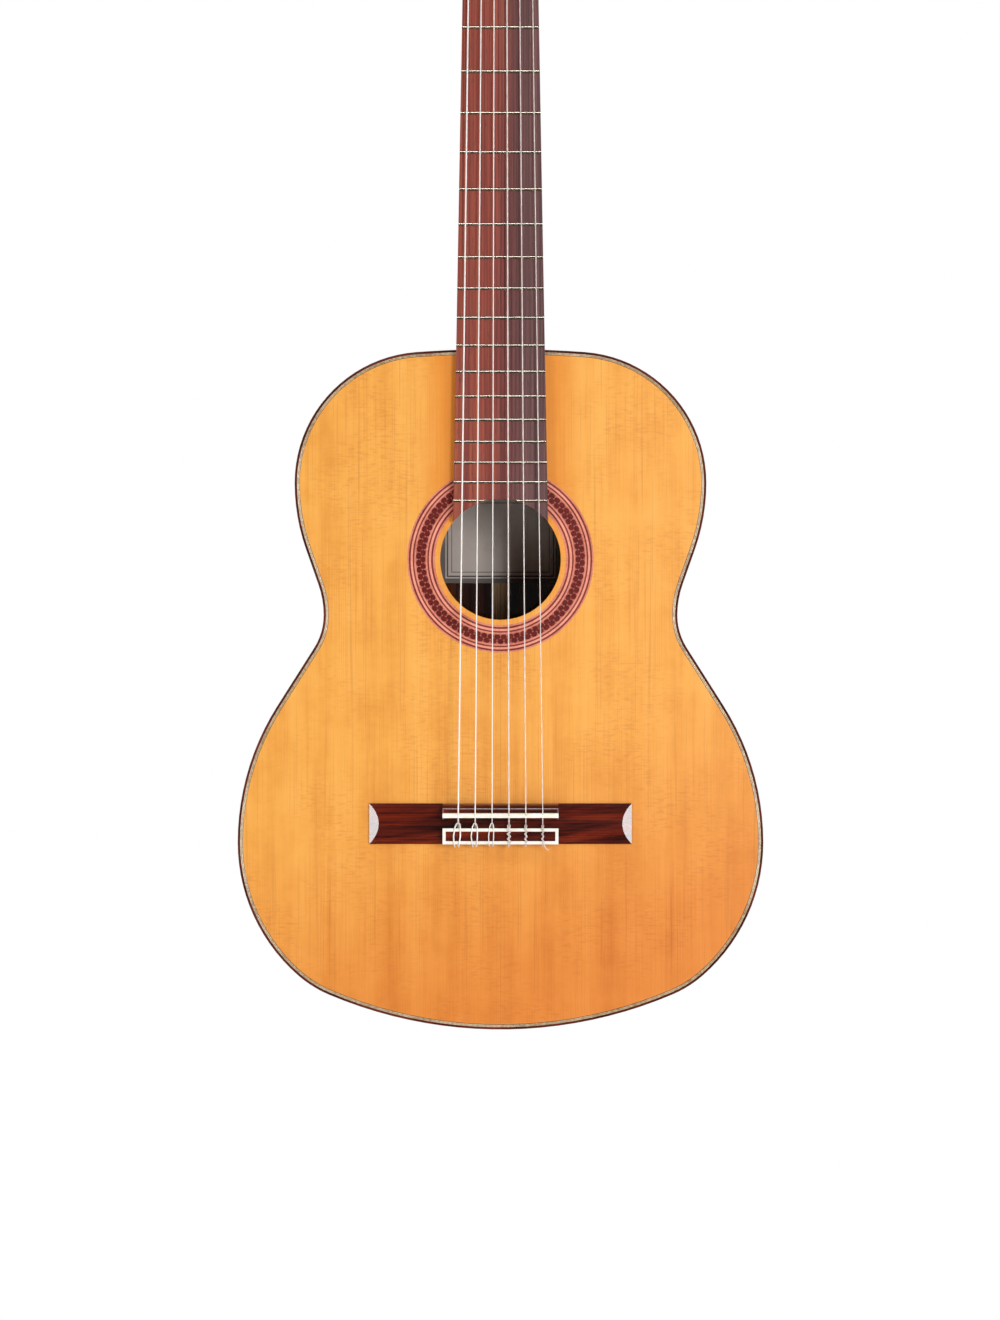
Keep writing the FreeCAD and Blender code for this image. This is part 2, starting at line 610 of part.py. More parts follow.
chamfer = polygon([V(BLOCK_HALF - RIDGE_CHAMFER, -RIDGE_HEIGHT, CHANNEL_REAR),
                   V(BLOCK_HALF, RIDGE_CHAMFER - RIDGE_HEIGHT, CHANNEL_REAR),
                   V(BLOCK_HALF + 1, RIDGE_CHAMFER - RIDGE_HEIGHT, CHANNEL_REAR),
                   V(BLOCK_HALF + 1, -TALL, CHANNEL_REAR), V(BLOCK_HALF - RIDGE_CHAMFER, -TALL, CHANNEL_REAR)])
chamfer = chamfer.extrude(V(0, 0, BRIDGE_FRONT - CHANNEL_REAR))
block = block.cut([chamfer, mirror(chamfer)])
saddle_slot = box(-BLOCK_HALF, BLOCK_HALF, -TALL, -SLOT_FLOOR, SADDLE_REAR, SADDLE_FRONT)
# The trim is a raised frame, and the rosewood inside it lies a little lower
trim = box(-BLOCK_HALF, BLOCK_HALF, -BLOCK_HEIGHT, -BLOCK_HEIGHT + TRIM_THICKNESS, BRIDGE_REAR, CHANNEL_REAR)
inside_trim = (-BLOCK_HALF + TRIM_WIDTH, BLOCK_HALF - TRIM_WIDTH)
trim_window = (BRIDGE_REAR + TRIM_WIDTH, CHANNEL_REAR - TRIM_WIDTH)
trim = trim.cut(box(*inside_trim, -TALL, 0, *trim_window))
sunk_top = box(*inside_trim, -TALL, -BLOCK_HEIGHT + TRIM_RISE, *trim_window)
holes = []
for index in range(6):
    hole_x = (index / 5 - 0.5) * SADDLE_SPREAD
    holes.append(rod(V(hole_x, -STRING_HOLE_HEIGHT, BRIDGE_REAR - CLEAR),
                     V(hole_x, -STRING_HOLE_HEIGHT, CHANNEL_REAR + 1), STRING_HOLE))
nodes["bridge"] = join([wings, block]).cut([saddle_slot, trim, sunk_top] + holes)
nodes["tie_block_trim"] = trim
bass_top = STRINGS[0][1] + SADDLE_CROWN
treble_top = STRINGS[5][1] + SADDLE_CROWN
saddle = polygon([V(-BLOCK_HALF, -SLOT_FLOOR, SADDLE_FRONT), V(BLOCK_HALF, -SLOT_FLOOR, SADDLE_FRONT),
                  V(BLOCK_HALF, -treble_top, SADDLE_FRONT), V(-BLOCK_HALF, -bass_top, SADDLE_FRONT)])
saddle = saddle.extrude(V(0, 0, -SADDLE_THICKNESS))
saddle = saddle.makeFillet(SADDLE_FILLET, [edge for edge in saddle.Edges
                                           if edge.BoundBox.XLength > BLOCK_HALF
                                           and edge.BoundBox.YMax < -treble_top + 0.5])
nodes["saddle"] = saddle.cut(string_solids)

# Head: a flare from the neck's section to a flat board with two long slots

HEAD_STEPS = 6
CREST_SHOULDER = 158.0
CREST_NOTCH = 172.0
CREST_STEP = 14.0
CREST_HOLLOW = (4.5, 9.0)
HEAD_SQUARING = 9.0
HEAD_ROOM = 250.0


def flare_half(step):
    blend = step / HEAD_STEPS
    return board_half(0) + (HEAD_HALF - board_half(0)) * blend ** 2 * (3 - 2 * blend)


flare_points = [(flare_half(step), HEAD_FLARE * step / HEAD_STEPS) for step in range(HEAD_STEPS + 1)]


def head_outline(y):
    """The face of the head seen from the front, in the head's own frame."""
    right = [V(x, y, z) for x, z in flare_points] + [V(HEAD_HALF, y, CREST_SHOULDER)]
    left = [V(-point.x, y, point.z) for point in right[::-1]]
    crest_edges = []
    hollow_in, hollow_up = CREST_HOLLOW
    ears = [V(HEAD_HALF, y, CREST_SHOULDER), V(HEAD_HALF - hollow_in, y, CREST_SHOULDER + hollow_up),
            V(HEAD_HALF - CREST_STEP, y, CREST_NOTCH)]
    crest_edges.append(Part.Arc(*ears).toShape())
    crest_edges.append(Part.Arc(ears[2], V(0, y, HEAD_LENGTH), V(-ears[2].x, y, ears[2].z)).toShape())
    mirrored = [V(-point.x, y, point.z) for point in ears[::-1]]
    crest_edges.append(Part.Arc(*mirrored).toShape())
    lines = [Part.LineSegment(a, b).toShape() for a, b in zip(right, right[1:])]
    rest = left + [right[0]]
    lines_back = [Part.LineSegment(a, b).toShape() for a, b in zip(rest, rest[1:])]
    return Part.Wire(lines + crest_edges + lines_back)


def head_section(step):
    blend = step / HEAD_STEPS
    depth = NECK_THICKNESS + (HEAD_THICKNESS - NECK_THICKNESS) * blend
    section = neck_section(0, flare_half(step), depth, NECK_SQUARENESS + HEAD_SQUARING * blend ** 2)
    section.translate(V(0, 0, HEAD_FLARE * blend))
    if step > 0:
        return to_head(section)
    section.translate(V(0, 0, NUT_THICKNESS))
    return section


flare = Part.makeLoft([head_section(step) for step in range(HEAD_STEPS + 1)], True, True)
head_board = Part.Face(head_outline(0)).extrude(V(0, HEAD_THICKNESS, 0))
head_board = to_head(head_board.common(box(-WIDE, WIDE, -CLEAR, DEEP, HEAD_FLARE, HEAD_ROOM)))
veneer = to_head(Part.Face(head_outline(-VENEER_THICKNESS)).extrude(V(0, VENEER_THICKNESS, 0)))
veneer = veneer.common(box(-WIDE, WIDE, -TALL, DEEP, NUT_THICKNESS, HEAD_ROOM))


def slot_cutter():
    """One slot with round ends, and the ramp where the strings come down to the first roller."""
    middle = (SLOT_INNER + SLOT_OUTER) / 2
    radius = (SLOT_OUTER - SLOT_INNER) / 2
    start, end = SLOT_BOTTOM + radius, SLOT_TOP - radius
    slot = join([box(SLOT_INNER, SLOT_OUTER, -CLEAR, TALL, start, end),
                 rod(V(middle, -CLEAR, start), V(middle, TALL, start), radius),
                 rod(V(middle, -CLEAR, end), V(middle, TALL, end), radius)])
    front = -VENEER_THICKNESS - 0.1
    ramp = polygon([V(SLOT_INNER, front, SLOT_BOTTOM - RAMP_LENGTH), V(SLOT_INNER, front, start),
                    V(SLOT_INNER, RAMP_DEPTH, start), V(SLOT_INNER, RAMP_DEPTH / 2, SLOT_BOTTOM)])
    return join([slot, ramp.extrude(V(SLOT_OUTER - SLOT_INNER, 0, 0))])


slots = [to_head(slot_cutter()), to_head(mirror(slot_cutter()))]
bores = []
for side in (-1, 1):
    for height in ROLLER_HEIGHTS:
        bores.append(to_head(rod(V(side * (HEAD_HALF + 1), ROLLER_DEPTH, height),
                                 V(side * (ROLLER_INNER_END - 0.4), ROLLER_DEPTH, height),
                                 ROLLER_RADIUS + RUNNING_FIT)))

# Plate screws: a domed head on the plate and a shank in the wood

SCREW_DOME = 3.0
SCREW_DOME_SUNK = 1.9
SCREW_SHANK = 1.0
SCREW_LENGTH = 8.0
DRIVE_WIDTH = 0.5
DRIVE_START = 0.7
PLATE_OUT = HEAD_HALF + PLATE_THICKNESS


def plate_screw(side, height):
    head = Part.makeSphere(SCREW_DOME, V(PLATE_OUT - SCREW_DOME_SUNK, ROLLER_DEPTH, height))
    head = head.common(box(PLATE_OUT, PLATE_OUT + SCREW_DOME, 0, TALL, height - CLEAR, height + CLEAR))
    drive = box(PLATE_OUT + DRIVE_START, PLATE_OUT + SCREW_DOME, ROLLER_DEPTH - CLEAR, ROLLER_DEPTH + CLEAR,
                height - DRIVE_WIDTH / 2, height + DRIVE_WIDTH / 2)
    shank = rod(V(PLATE_OUT + 0.1, ROLLER_DEPTH, height), V(HEAD_HALF - SCREW_LENGTH, ROLLER_DEPTH, height),
                SCREW_SHANK)
    screw = join([head, shank]).cut(drive)
    return to_head(screw if side > 0 else mirror(screw))


screws = [plate_screw(side, height) for side in (-1, 1) for height in PLATE_SCREWS]
nodes["plate_screws"] = group(screws)
headstock = join([flare, head_board]).cut(slots + bores + screws)
nodes["headstock"] = headstock
nodes["head_veneer"] = veneer.cut(slots)

# Tuning machines

GEAR_MIDDLE = PLATE_OUT + GEAR_GAP + GEAR_WIDTH / 2
GEAR_RADIUS = MODULE * GEAR_TEETH / 2
WORM_OFFSET = GEAR_RADIUS + WORM_RADIUS
LEAD = math.pi * MODULE
LEAD_ANGLE = math.atan(LEAD / (2 * math.pi * WORM_RADIUS))
PRESSURE_SLOPE = math.tan(math.radians(20))
ROOT_DEPTH = 1.2 * MODULE
LUG_HALF = 3.4
LUG_PLAY = 0.8
LUG_FRONT = ROLLER_DEPTH - WORM_HALF_LENGTH - LUG_PLAY
LUG_REAR = ROLLER_DEPTH + WORM_HALF_LENGTH + LUG_PLAY
PLATE_FRONT = 0.6
PLATE_REAR = 15.4
NECK_PIN = 2.5
GEAR_PIN = 1.75
GEAR_SCREW = 0.8
GEAR_SCREW_LENGTH = 2.5
GEAR_SCREW_HEAD = 3.0
GEAR_SCREW_HEIGHT = 1.3
STRING_BORE = 0.8


def tuner_plate(side):
    plate = box(HEAD_HALF, PLATE_OUT, PLATE_FRONT, PLATE_REAR, PLATE_BOTTOM, PLATE_TOP)
    lugs = []
    for height in ROLLER_HEIGHTS:
        axis = height + WORM_OFFSET
        for start in (LUG_FRONT - LUG_THICKNESS, LUG_REAR):
            lug = box(PLATE_OUT - 0.2, GEAR_MIDDLE, start, start + LUG_THICKNESS,
                      axis - LUG_HALF, axis + LUG_HALF)
            eye = rod(V(GEAR_MIDDLE, start, axis), V(GEAR_MIDDLE, start + LUG_THICKNESS, axis), LUG_HALF)
            lugs += [lug, eye]
    plate = join([plate] + lugs)
    cutters = []
    for height in ROLLER_HEIGHTS:
        axis = height + WORM_OFFSET
        cutters.append(rod(V(GEAR_MIDDLE, -CLEAR, axis), V(GEAR_MIDDLE, TALL, axis), WORM_CORE + RUNNING_FIT))
        cutters.append(rod(V(HEAD_HALF - 1, ROLLER_DEPTH, height), V(PLATE_OUT + 1, ROLLER_DEPTH, height),
                           NECK_PIN + RUNNING_FIT))
    for height in PLATE_SCREWS:
        cutters.append(rod(V(HEAD_HALF - 1, ROLLER_DEPTH, height), V(PLATE_OUT + 1, ROLLER_DEPTH, height),
                           SCREW_SHANK))
    plate = plate.cut(cutters)
    return to_head(plate if side > 0 else mirror(plate))


nodes["tuner_plate_bass"] = tuner_plate(-1)
nodes["tuner_plate_treble"] = tuner_plate(1)


def gear_ring(x, twist, phase):
    """One closed tooth outline round the roller's axis, at height x along that axis."""
    tip, root = GEAR_RADIUS + MODULE, GEAR_RADIUS - ROOT_DEPTH
    half_pitch = TOOTH_THICKNESS / 2 / GEAR_RADIUS
    root_half = half_pitch + ROOT_DEPTH * PRESSURE_SLOPE / GEAR_RADIUS
    tip_half = half_pitch - MODULE * PRESSURE_SLOPE / GEAR_RADIUS
    flank = [(root, -root_half), (tip, -tip_half), (tip, tip_half), (root, root_half)]
    points = []
    for tooth in range(GEAR_TEETH):
        middle = phase + twist + 2 * math.pi * tooth / GEAR_TEETH
        for radius, angle in flank:
            points.append(V(x, radius * math.cos(middle + angle), radius * math.sin(middle + angle)))
    return Part.makePolygon(points + [points[0]])


def gear_at(side, height):
    """The gear, with its tooth gap facing the worm, and the screw that holds it on the roller."""
    slant = math.tan(LEAD_ANGLE) * GEAR_WIDTH / 2 / GEAR_RADIUS
    phase = math.pi / 2 + math.pi / GEAR_TEETH
    inner, outer = GEAR_MIDDLE - GEAR_WIDTH / 2, GEAR_MIDDLE + GEAR_WIDTH / 2
    rings = [gear_ring(inner, side * slant, phase), gear_ring(outer, -side * slant, phase)]
    wheel = Part.makeLoft(rings, True, True).cut(rod(V(inner - 1, 0, 0), V(outer + 1, 0, 0), GEAR_PIN))
    head = rod(V(outer, 0, 0), V(outer + GEAR_SCREW_HEIGHT, 0, 0), GEAR_SCREW_HEAD)
    drive = box(outer + GEAR_SCREW_HEIGHT / 2, outer + 2, -CLEAR, CLEAR, -DRIVE_WIDTH / 2, DRIVE_WIDTH / 2)
    shank = rod(V(outer + 0.1, 0, 0), V(outer - GEAR_SCREW_LENGTH, 0, 0), GEAR_SCREW)
    screw = join([head, shank]).cut(drive)
    pair = group([wheel, screw])
    if side < 0:
        pair = mirror(pair)
    pair.translate(V(0, ROLLER_DEPTH, height))
    return to_head(pair)


def roller_at(side, machine):
    height = ROLLER_HEIGHTS[machine]
    barrel = rod(V(HEAD_HALF - 0.2, 0, 0), V(ROLLER_INNER_END, 0, 0), ROLLER_RADIUS)
    string_x = ROLLER_STRING_X[machine]
    across = V(0, 2 * ROLLER_RADIUS, 0)
    barrel = barrel.cut(rod(V(string_x, 0, 0) - across, V(string_x, 0, 0) + across, STRING_BORE))
    neck_pin = rod(V(HEAD_HALF - 0.3, 0, 0), V(PLATE_OUT + GEAR_GAP, 0, 0), NECK_PIN)
    gear_pin = rod(V(PLATE_OUT, 0, 0), V(GEAR_MIDDLE + GEAR_WIDTH / 2, 0, 0), GEAR_PIN)
    screw_hole = rod(V(GEAR_MIDDLE + GEAR_WIDTH, 0, 0),
                     V(GEAR_MIDDLE + GEAR_WIDTH / 2 - GEAR_SCREW_LENGTH, 0, 0), GEAR_SCREW)
    roller = join([barrel, neck_pin, gear_pin]).cut(screw_hole)
    if side < 0:
        roller = mirror(roller)
    roller.translate(V(0, ROLLER_DEPTH, height))
    return to_head(roller)


def worm_thread():
    """A right-hand thread round Z, centred on the origin."""
    turns = 2 * WORM_HALF_LENGTH / LEAD
    helix = Part.makeHelix(LEAD, turns * LEAD, WORM_RADIUS)
    root_half = TOOTH_THICKNESS / 2 + (WORM_RADIUS - WORM_CORE + 0.2) * PRESSURE_SLOPE
    tip_half = TOOTH_THICKNESS / 2 - MODULE * PRESSURE_SLOPE
    tooth = Part.makePolygon([V(WORM_CORE - 0.2, 0, -root_half), V(WORM_RADIUS + MODULE, 0, -tip_half),
                              V(WORM_RADIUS + MODULE, 0, tip_half), V(WORM_CORE - 0.2, 0, root_half),
                              V(WORM_CORE - 0.2, 0, -root_half)])
    thread = Part.Wire(helix).makePipeShell([tooth], True, True)
    thread.translate(V(0, 0, -turns * LEAD / 2))
    return thread


def worm_shaft_at(side, height):
    """Worm, journals and the stem that carries the button, turning on an axis square to the head."""
    thread = worm_thread()
    limit = Part.makeCylinder(WORM_RADIUS + 2, 2 * WORM_HALF_LENGTH, V(0, 0, -WORM_HALF_LENGTH))
    half_turns = WORM_HALF_LENGTH / LEAD
    thread.rotate(V(0, 0, 0), V(0, 0, 1), -360 * half_turns)
    start = LUG_FRONT - LUG_THICKNESS - LUG_PLAY - ROLLER_DEPTH
    core = Part.makeCylinder(WORM_CORE, BUTTON_START + BUTTON_GRIP - ROLLER_DEPTH - start, V(0, 0, start))
    collar_start = LUG_REAR + LUG_THICKNESS + 1.2 - ROLLER_DEPTH
    collar = Part.makeCylinder(COLLAR_RADIUS, COLLAR_LENGTH, V(0, 0, collar_start))
    shaft_solid = join([core, thread.common(limit), collar])
    shaft_solid.rotate(V(0, 0, 0), V(1, 0, 0), -90)
    # A crest of the thread faces the gear
    shaft_solid.rotate(V(0, 0, 0), V(0, 1, 0), 90)
    shaft_solid.translate(V(side * GEAR_MIDDLE, ROLLER_DEPTH, height + WORM_OFFSET))
    return to_head(shaft_solid)


def button_at(side, height):
    """A flat oval button with a stem boss, pressed on the end of the worm shaft."""
    tip, neck_end = V(BUTTON_TIP, 0, BUTTON_LENGTH), V(BUTTON_NECK, 0, 0)
    belly = V(BUTTON_WIDTH / 2, 0, BUTTON_LENGTH * 0.52)
    arc_right = Part.Arc(neck_end, belly, tip).toShape()
    arc_left = Part.Arc(V(-tip.x, 0, tip.z), V(-belly.x, 0, belly.z), V(-neck_end.x, 0, 0)).toShape()
    ends = [Part.LineSegment(tip, V(-tip.x, 0, tip.z)).toShape(),
            Part.LineSegment(V(-neck_end.x, 0, 0), neck_end).toShape()]
    leaf = Part.Face(Part.Wire([arc_right, ends[0], arc_left, ends[1]])).extrude(V(0, BUTTON_THICKNESS, 0))
    leaf.translate(V(0, -BUTTON_THICKNESS / 2, 0))
    for direction in (-1, 1):
        bulge_centre = direction * (BUTTON_BULGE - BUTTON_THICKNESS / 2)
        leaf = leaf.common(Part.makeCylinder(BUTTON_BULGE, BUTTON_LENGTH + 4, V(0, bulge_centre, -2)))
    boss = Part.makeCone(COLLAR_RADIUS, BUTTON_NECK, BUTTON_BOSS, V(0, 0, -BUTTON_BOSS))
    button = join([leaf, boss])
    button = button.cut(Part.makeCylinder(WORM_CORE, BUTTON_GRIP + 4.0, V(0, 0, -4.0)))
    button.rotate(V(0, 0, 0), V(1, 0, 0), -90)
    button.translate(V(side * GEAR_MIDDLE, BUTTON_START, height + WORM_OFFSET))
    return to_head(button)


for index in range(6):
    side, machine = string_machine(index)
    number = 6 - index
    height = ROLLER_HEIGHTS[machine]
    nodes["roller_%d" % number] = roller_at(side, machine)
    nodes["gear_%d" % number] = gear_at(side, height)
    nodes["worm_shaft_%d" % number] = worm_shaft_at(side, height)
    nodes["button_%d" % number] = button_at(side, height)

for name, shape in nodes.items():
    if not shape.isValid():
        print("not valid:", name)
    print("%-20s solids %3d  volume %10.1f" % (name, len(shape.Solids), shape.Volume))
    shape.exportStep("parts/%s.step" % name)
print(len(nodes), "nodes")
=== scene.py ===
import json
import math

import bmesh
import bpy
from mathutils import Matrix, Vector


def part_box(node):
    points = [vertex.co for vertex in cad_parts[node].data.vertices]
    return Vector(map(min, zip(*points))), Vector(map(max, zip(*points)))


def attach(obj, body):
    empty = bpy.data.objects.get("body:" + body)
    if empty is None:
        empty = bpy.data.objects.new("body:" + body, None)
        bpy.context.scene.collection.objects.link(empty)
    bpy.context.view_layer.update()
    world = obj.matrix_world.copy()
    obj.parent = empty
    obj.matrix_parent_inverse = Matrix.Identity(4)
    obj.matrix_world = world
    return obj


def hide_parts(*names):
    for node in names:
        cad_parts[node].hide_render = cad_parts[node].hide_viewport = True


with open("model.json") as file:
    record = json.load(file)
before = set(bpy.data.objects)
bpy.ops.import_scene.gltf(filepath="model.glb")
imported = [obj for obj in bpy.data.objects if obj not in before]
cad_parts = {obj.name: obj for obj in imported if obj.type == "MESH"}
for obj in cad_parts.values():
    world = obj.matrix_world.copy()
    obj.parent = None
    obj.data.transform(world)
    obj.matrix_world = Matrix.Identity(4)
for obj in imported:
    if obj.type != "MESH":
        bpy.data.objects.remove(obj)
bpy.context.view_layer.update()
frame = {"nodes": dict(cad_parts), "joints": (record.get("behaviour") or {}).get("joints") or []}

nodes = frame["nodes"]


# Neck, heel and head
# One length of cedro carries the neck's shaft, its heel and the slotted head, which is glued on
# behind the nut. It is a light reddish hardwood, sanded and sprayed with a satin lacquer.

class Finish:
    """A node material put together step by step, reading the object's own coordinates in metres."""

    def __init__(self, name, **sockets):
        self.material = bpy.data.materials.new(name)
        self.material.use_nodes = True
        self.tree = self.material.node_tree
        self.shader = self.tree.nodes["Principled BSDF"]
        for socket, value in sockets.items():
            self.shader.inputs[socket.replace("_", " ")].default_value = value
        self.place = self.add("ShaderNodeTexCoord").outputs["Object"]
        self.normal = None

    def add(self, kind, **settings):
        node = self.tree.nodes.new(kind)
        for setting, value in settings.items():
            setattr(node, setting, value)
        return node

    def feed(self, socket, value):
        if isinstance(value, bpy.types.NodeSocket):
            self.tree.links.new(value, socket)
        else:
            socket.default_value = value

    def stretched(self, scale, source=None, lean=0.0):
        """Coordinates drawn out where scale is small; lean turns the grain in the soundboard's plane."""
        mapping = self.add("ShaderNodeMapping", vector_type="TEXTURE" if lean else "POINT")
        self.feed(mapping.inputs["Vector"], source or self.place)
        if lean:
            mapping.inputs["Rotation"].default_value = (0.0, lean, 0.0)
            scale = tuple(1 / part for part in scale)
        mapping.inputs["Scale"].default_value = scale
        return mapping.outputs["Vector"]

    def noise(self, vector, scale, detail=3.0, roughness=0.55, distortion=0.0):
        noise = self.add("ShaderNodeTexNoise")
        self.feed(noise.inputs["Vector"], vector)
        settings = {"Scale": scale, "Detail": detail, "Roughness": roughness, "Distortion": distortion}
        for socket, value in settings.items():
            noise.inputs[socket].default_value = value
        return noise.outputs["Fac"]

    def axes(self, vector=None):
        """X, Y and Z of a vector, or of the place on the object."""
        apart = self.add("ShaderNodeSeparateXYZ")
        self.feed(apart.inputs["Vector"], vector or self.place)
        return apart.outputs

    def maths(self, operation, first, second=0.0, third=0.0):
        answer = self.add("ShaderNodeMath", operation=operation)
        for socket, value in zip(answer.inputs, (first, second, third)):
            self.feed(socket, value)
        return answer.outputs[0]

    def ramp(self, factor, stops, kind="LINEAR"):
        ramp = self.add("ShaderNodeValToRGB")
        ramp.color_ramp.interpolation = kind
        elements = ramp.color_ramp.elements
        while len(elements) < len(stops):
            elements.new(0.5)
        for element, (place, colour) in zip(elements, stops):
            element.position = place
            element.color = (*colour, 1.0)
        self.feed(ramp.inputs["Fac"], factor)
        return ramp.outputs["Color"]

    def step(self, factor, low, high):
        """0 below low, 1 above high, and a soft rise between."""
        rise = self.add("ShaderNodeMapRange", interpolation_type="SMOOTHSTEP")
        for socket, value in zip(("Value", "From Min", "From Max"), (factor, low, high)):
            self.feed(rise.inputs[socket], value)
        return rise.outputs["Result"]

    def mix(self, factor, first, second, kind="MIX"):
        mix = self.add("ShaderNodeMix", data_type="RGBA", blend_type=kind)
        self.feed(mix.inputs["Factor"], factor)
        for socket, value in ((mix.inputs[6], first), (mix.inputs[7], second)):
            self.feed(socket, value if isinstance(value, bpy.types.NodeSocket) else (*value, 1.0))
        return mix.outputs[2]

    def colour(self, value):
        self.feed(self.shader.inputs["Base Color"], value)

    def rough(self, factor, smooth, dull):
        spread = self.add("ShaderNodeMapRange")
        self.feed(spread.inputs["Value"], factor)
        spread.inputs["To Min"].default_value = smooth
        spread.inputs["To Max"].default_value = dull
        self.feed(self.shader.inputs["Roughness"], spread.outputs["Result"])

    def bump(self, height, depth, strength=1.0):
        """Raises the surface where height is high; depth is in metres."""
        bump = self.add("ShaderNodeBump")
        bump.inputs["Strength"].default_value = strength
        bump.inputs["Distance"].default_value = depth
        self.feed(bump.inputs["Height"], height)
        if self.normal:
            self.feed(bump.inputs["Normal"], self.normal)
        self.normal = bump.outputs["Normal"]
        self.feed(self.shader.inputs["Normal"], self.normal)


def tint(red, green, blue):
    """A paint-chart colour, 0 to 255, as the linear light that the shader takes."""
    def linear(part):
        part /= 255
        return part / 12.92 if part < 0.04045 else ((part + 0.055) / 1.055) ** 2.4

    return linear(red), linear(green), linear(blue)


ALONG_NECK = (1.0, 1.0, 0.02)
ALONG_BRIDGE = (0.02, 1.0, 1.0)
ROUND_RIBS = (0.03, 1.0, 0.03)


def wood(name, shades, grain, line_gap, pores=0.35, figure=0.5, smooth=0.2, dull=0.32, **sockets):
    """Hardwood: growth lines and broad streaks drawn out along the grain, with open pores.
    shades run from the darkest line to the lightest wood."""
    finish = Finish(name, **sockets)
    lines = finish.noise(finish.stretched(grain), 1 / line_gap, detail=4.0)
    wide = tuple(0.6 if part == 1.0 else part * 4 for part in grain)
    streaks = finish.noise(finish.stretched(wide), 0.14 / line_gap, detail=2.0, distortion=0.6)
    blend = finish.maths("MULTIPLY_ADD", streaks, figure, finish.maths("MULTIPLY", lines, 1 - figure))
    last = len(shades) - 1
    colour = finish.ramp(blend, [(0.32 + 0.36 * i / last, shade) for i, shade in enumerate(shades)])
    short = tuple(1.0 if part == 1.0 else part * 3.5 for part in grain)
    pits = finish.noise(finish.stretched(short), 2.6 / line_gap, detail=1.0)
    open_pore = finish.step(pits, 0.62, 0.7)
    darkened = finish.maths("MULTIPLY", open_pore, pores)
    finish.colour(finish.mix(darkened, colour, shades[0]))
    handled = finish.noise(finish.place, 35.0, detail=2.0)
    finish.rough(finish.maths("ADD", handled, finish.maths("MULTIPLY", open_pore, 0.5)), smooth, dull)
    finish.bump(finish.maths("MULTIPLY_ADD", open_pore, -pores, lines), line_gap * 0.05, 0.5)
    return finish.material


def dress(material, *names):
    for name in names:
        nodes[name].data.materials.clear()
        nodes[name].data.materials.append(material)


cedro_shades = [tint(88, 42, 20), tint(134, 72, 38), tint(158, 92, 52), tint(176, 108, 64)]
cedro = wood("cedro", cedro_shades, ALONG_NECK, 0.0011, pores=0.6, figure=0.4, smooth=0.28, dull=0.42,
             Coat_Weight=0.25, Coat_Roughness=0.25)
dress(cedro, "neck", "headstock", "tail_block")

rosewood_shades = [tint(22, 9, 6), tint(52, 24, 15), tint(84, 42, 26), tint(112, 60, 38)]
head_rosewood = wood("head_rosewood", rosewood_shades, ALONG_NECK, 0.0014, figure=0.6, smooth=0.12, dull=0.22,
                     Coat_Weight=0.6, Coat_Roughness=0.06)
dress(head_rosewood, "head_veneer", "heel_cap")


# Sides and back
# Thin rosewood: the two sides are bent on a hot iron and the back is two book-matched halves
# with a pale inlaid line down the joint. The body outside is high-gloss lacquer over filled pores.

dress(wood("side_rosewood", rosewood_shades, ROUND_RIBS, 0.0016, pores=0.25, figure=0.65, smooth=0.06,
           dull=0.14, Coat_Weight=1.0, Coat_Roughness=0.03), "side_bass", "side_treble")


def folded(finish):
    """Coordinates that mirror at the centre line, as two halves cut from one plank open like a book."""
    apart = finish.axes()
    together = finish.add("ShaderNodeCombineXYZ")
    finish.feed(together.inputs["X"], finish.maths("ABSOLUTE", apart["X"]))
    finish.feed(together.inputs["Y"], apart["Y"])
    finish.feed(together.inputs["Z"], apart["Z"])
    return together.outputs["Vector"]


back_wood = Finish("back_rosewood", Coat_Weight=1.0, Coat_Roughness=0.03, Roughness=0.1)
book = folded(back_wood)
back_lines = back_wood.noise(back_wood.stretched((1.0, 1.0, 0.03), book), 420.0, detail=5.0, distortion=0.4)
back_flames = back_wood.noise(back_wood.stretched((1.0, 1.0, 0.12), book), 38.0, detail=3.0, distortion=1.2)
back_tone = back_wood.maths("MULTIPLY_ADD", back_flames, 0.65, back_wood.maths("MULTIPLY", back_lines, 0.35))
back_colour = back_wood.ramp(back_tone, [(0.34, tint(24, 10, 7)), (0.44, tint(58, 27, 17)),
                                         (0.55, tint(96, 48, 29)), (0.68, tint(128, 70, 44))])
back_wood.colour(back_colour)
back_wood.bump(back_lines, 0.00004, 0.4)
dress(back_wood.material, "back")


# Linings, bars, fan braces and back braces
# Quarter-sawn spruce, straight-grained and left bare inside the body: bars cross the soundboard
# above and below the hole, seven thin struts fan out under the bridge, and three braces cross the back.

def spruce(name, grain):
    finish = Finish(name, Roughness=0.7)
    lines = finish.noise(finish.stretched(grain), 900.0, detail=2.0)
    clouds = finish.noise(finish.place, 18.0)
    colour = finish.ramp(lines, [(0.35, tint(170, 130, 90)), (0.55, tint(206, 170, 130)),
                                 (0.7, tint(220, 188, 150))])
    finish.colour(finish.mix(finish.maths("MULTIPLY", clouds, 0.35), colour, tint(150, 108, 66)))
    finish.bump(lines, 0.00005, 0.5)
    return finish.material


dress(spruce("spruce_across", ALONG_BRIDGE), "harmonic_bars", "back_braces")
dress(spruce("spruce_along", ALONG_NECK), "fan_braces", "back_seam_strip")
dress(spruce("spruce_bent", ROUND_RIBS), "linings")


# Maker's label
# A slip of cream paper glued on the back's inner face under the soundhole. It is plain but for a
# printed border of a grey band, a heavy line and a fine one, and it has yellowed a little in places.

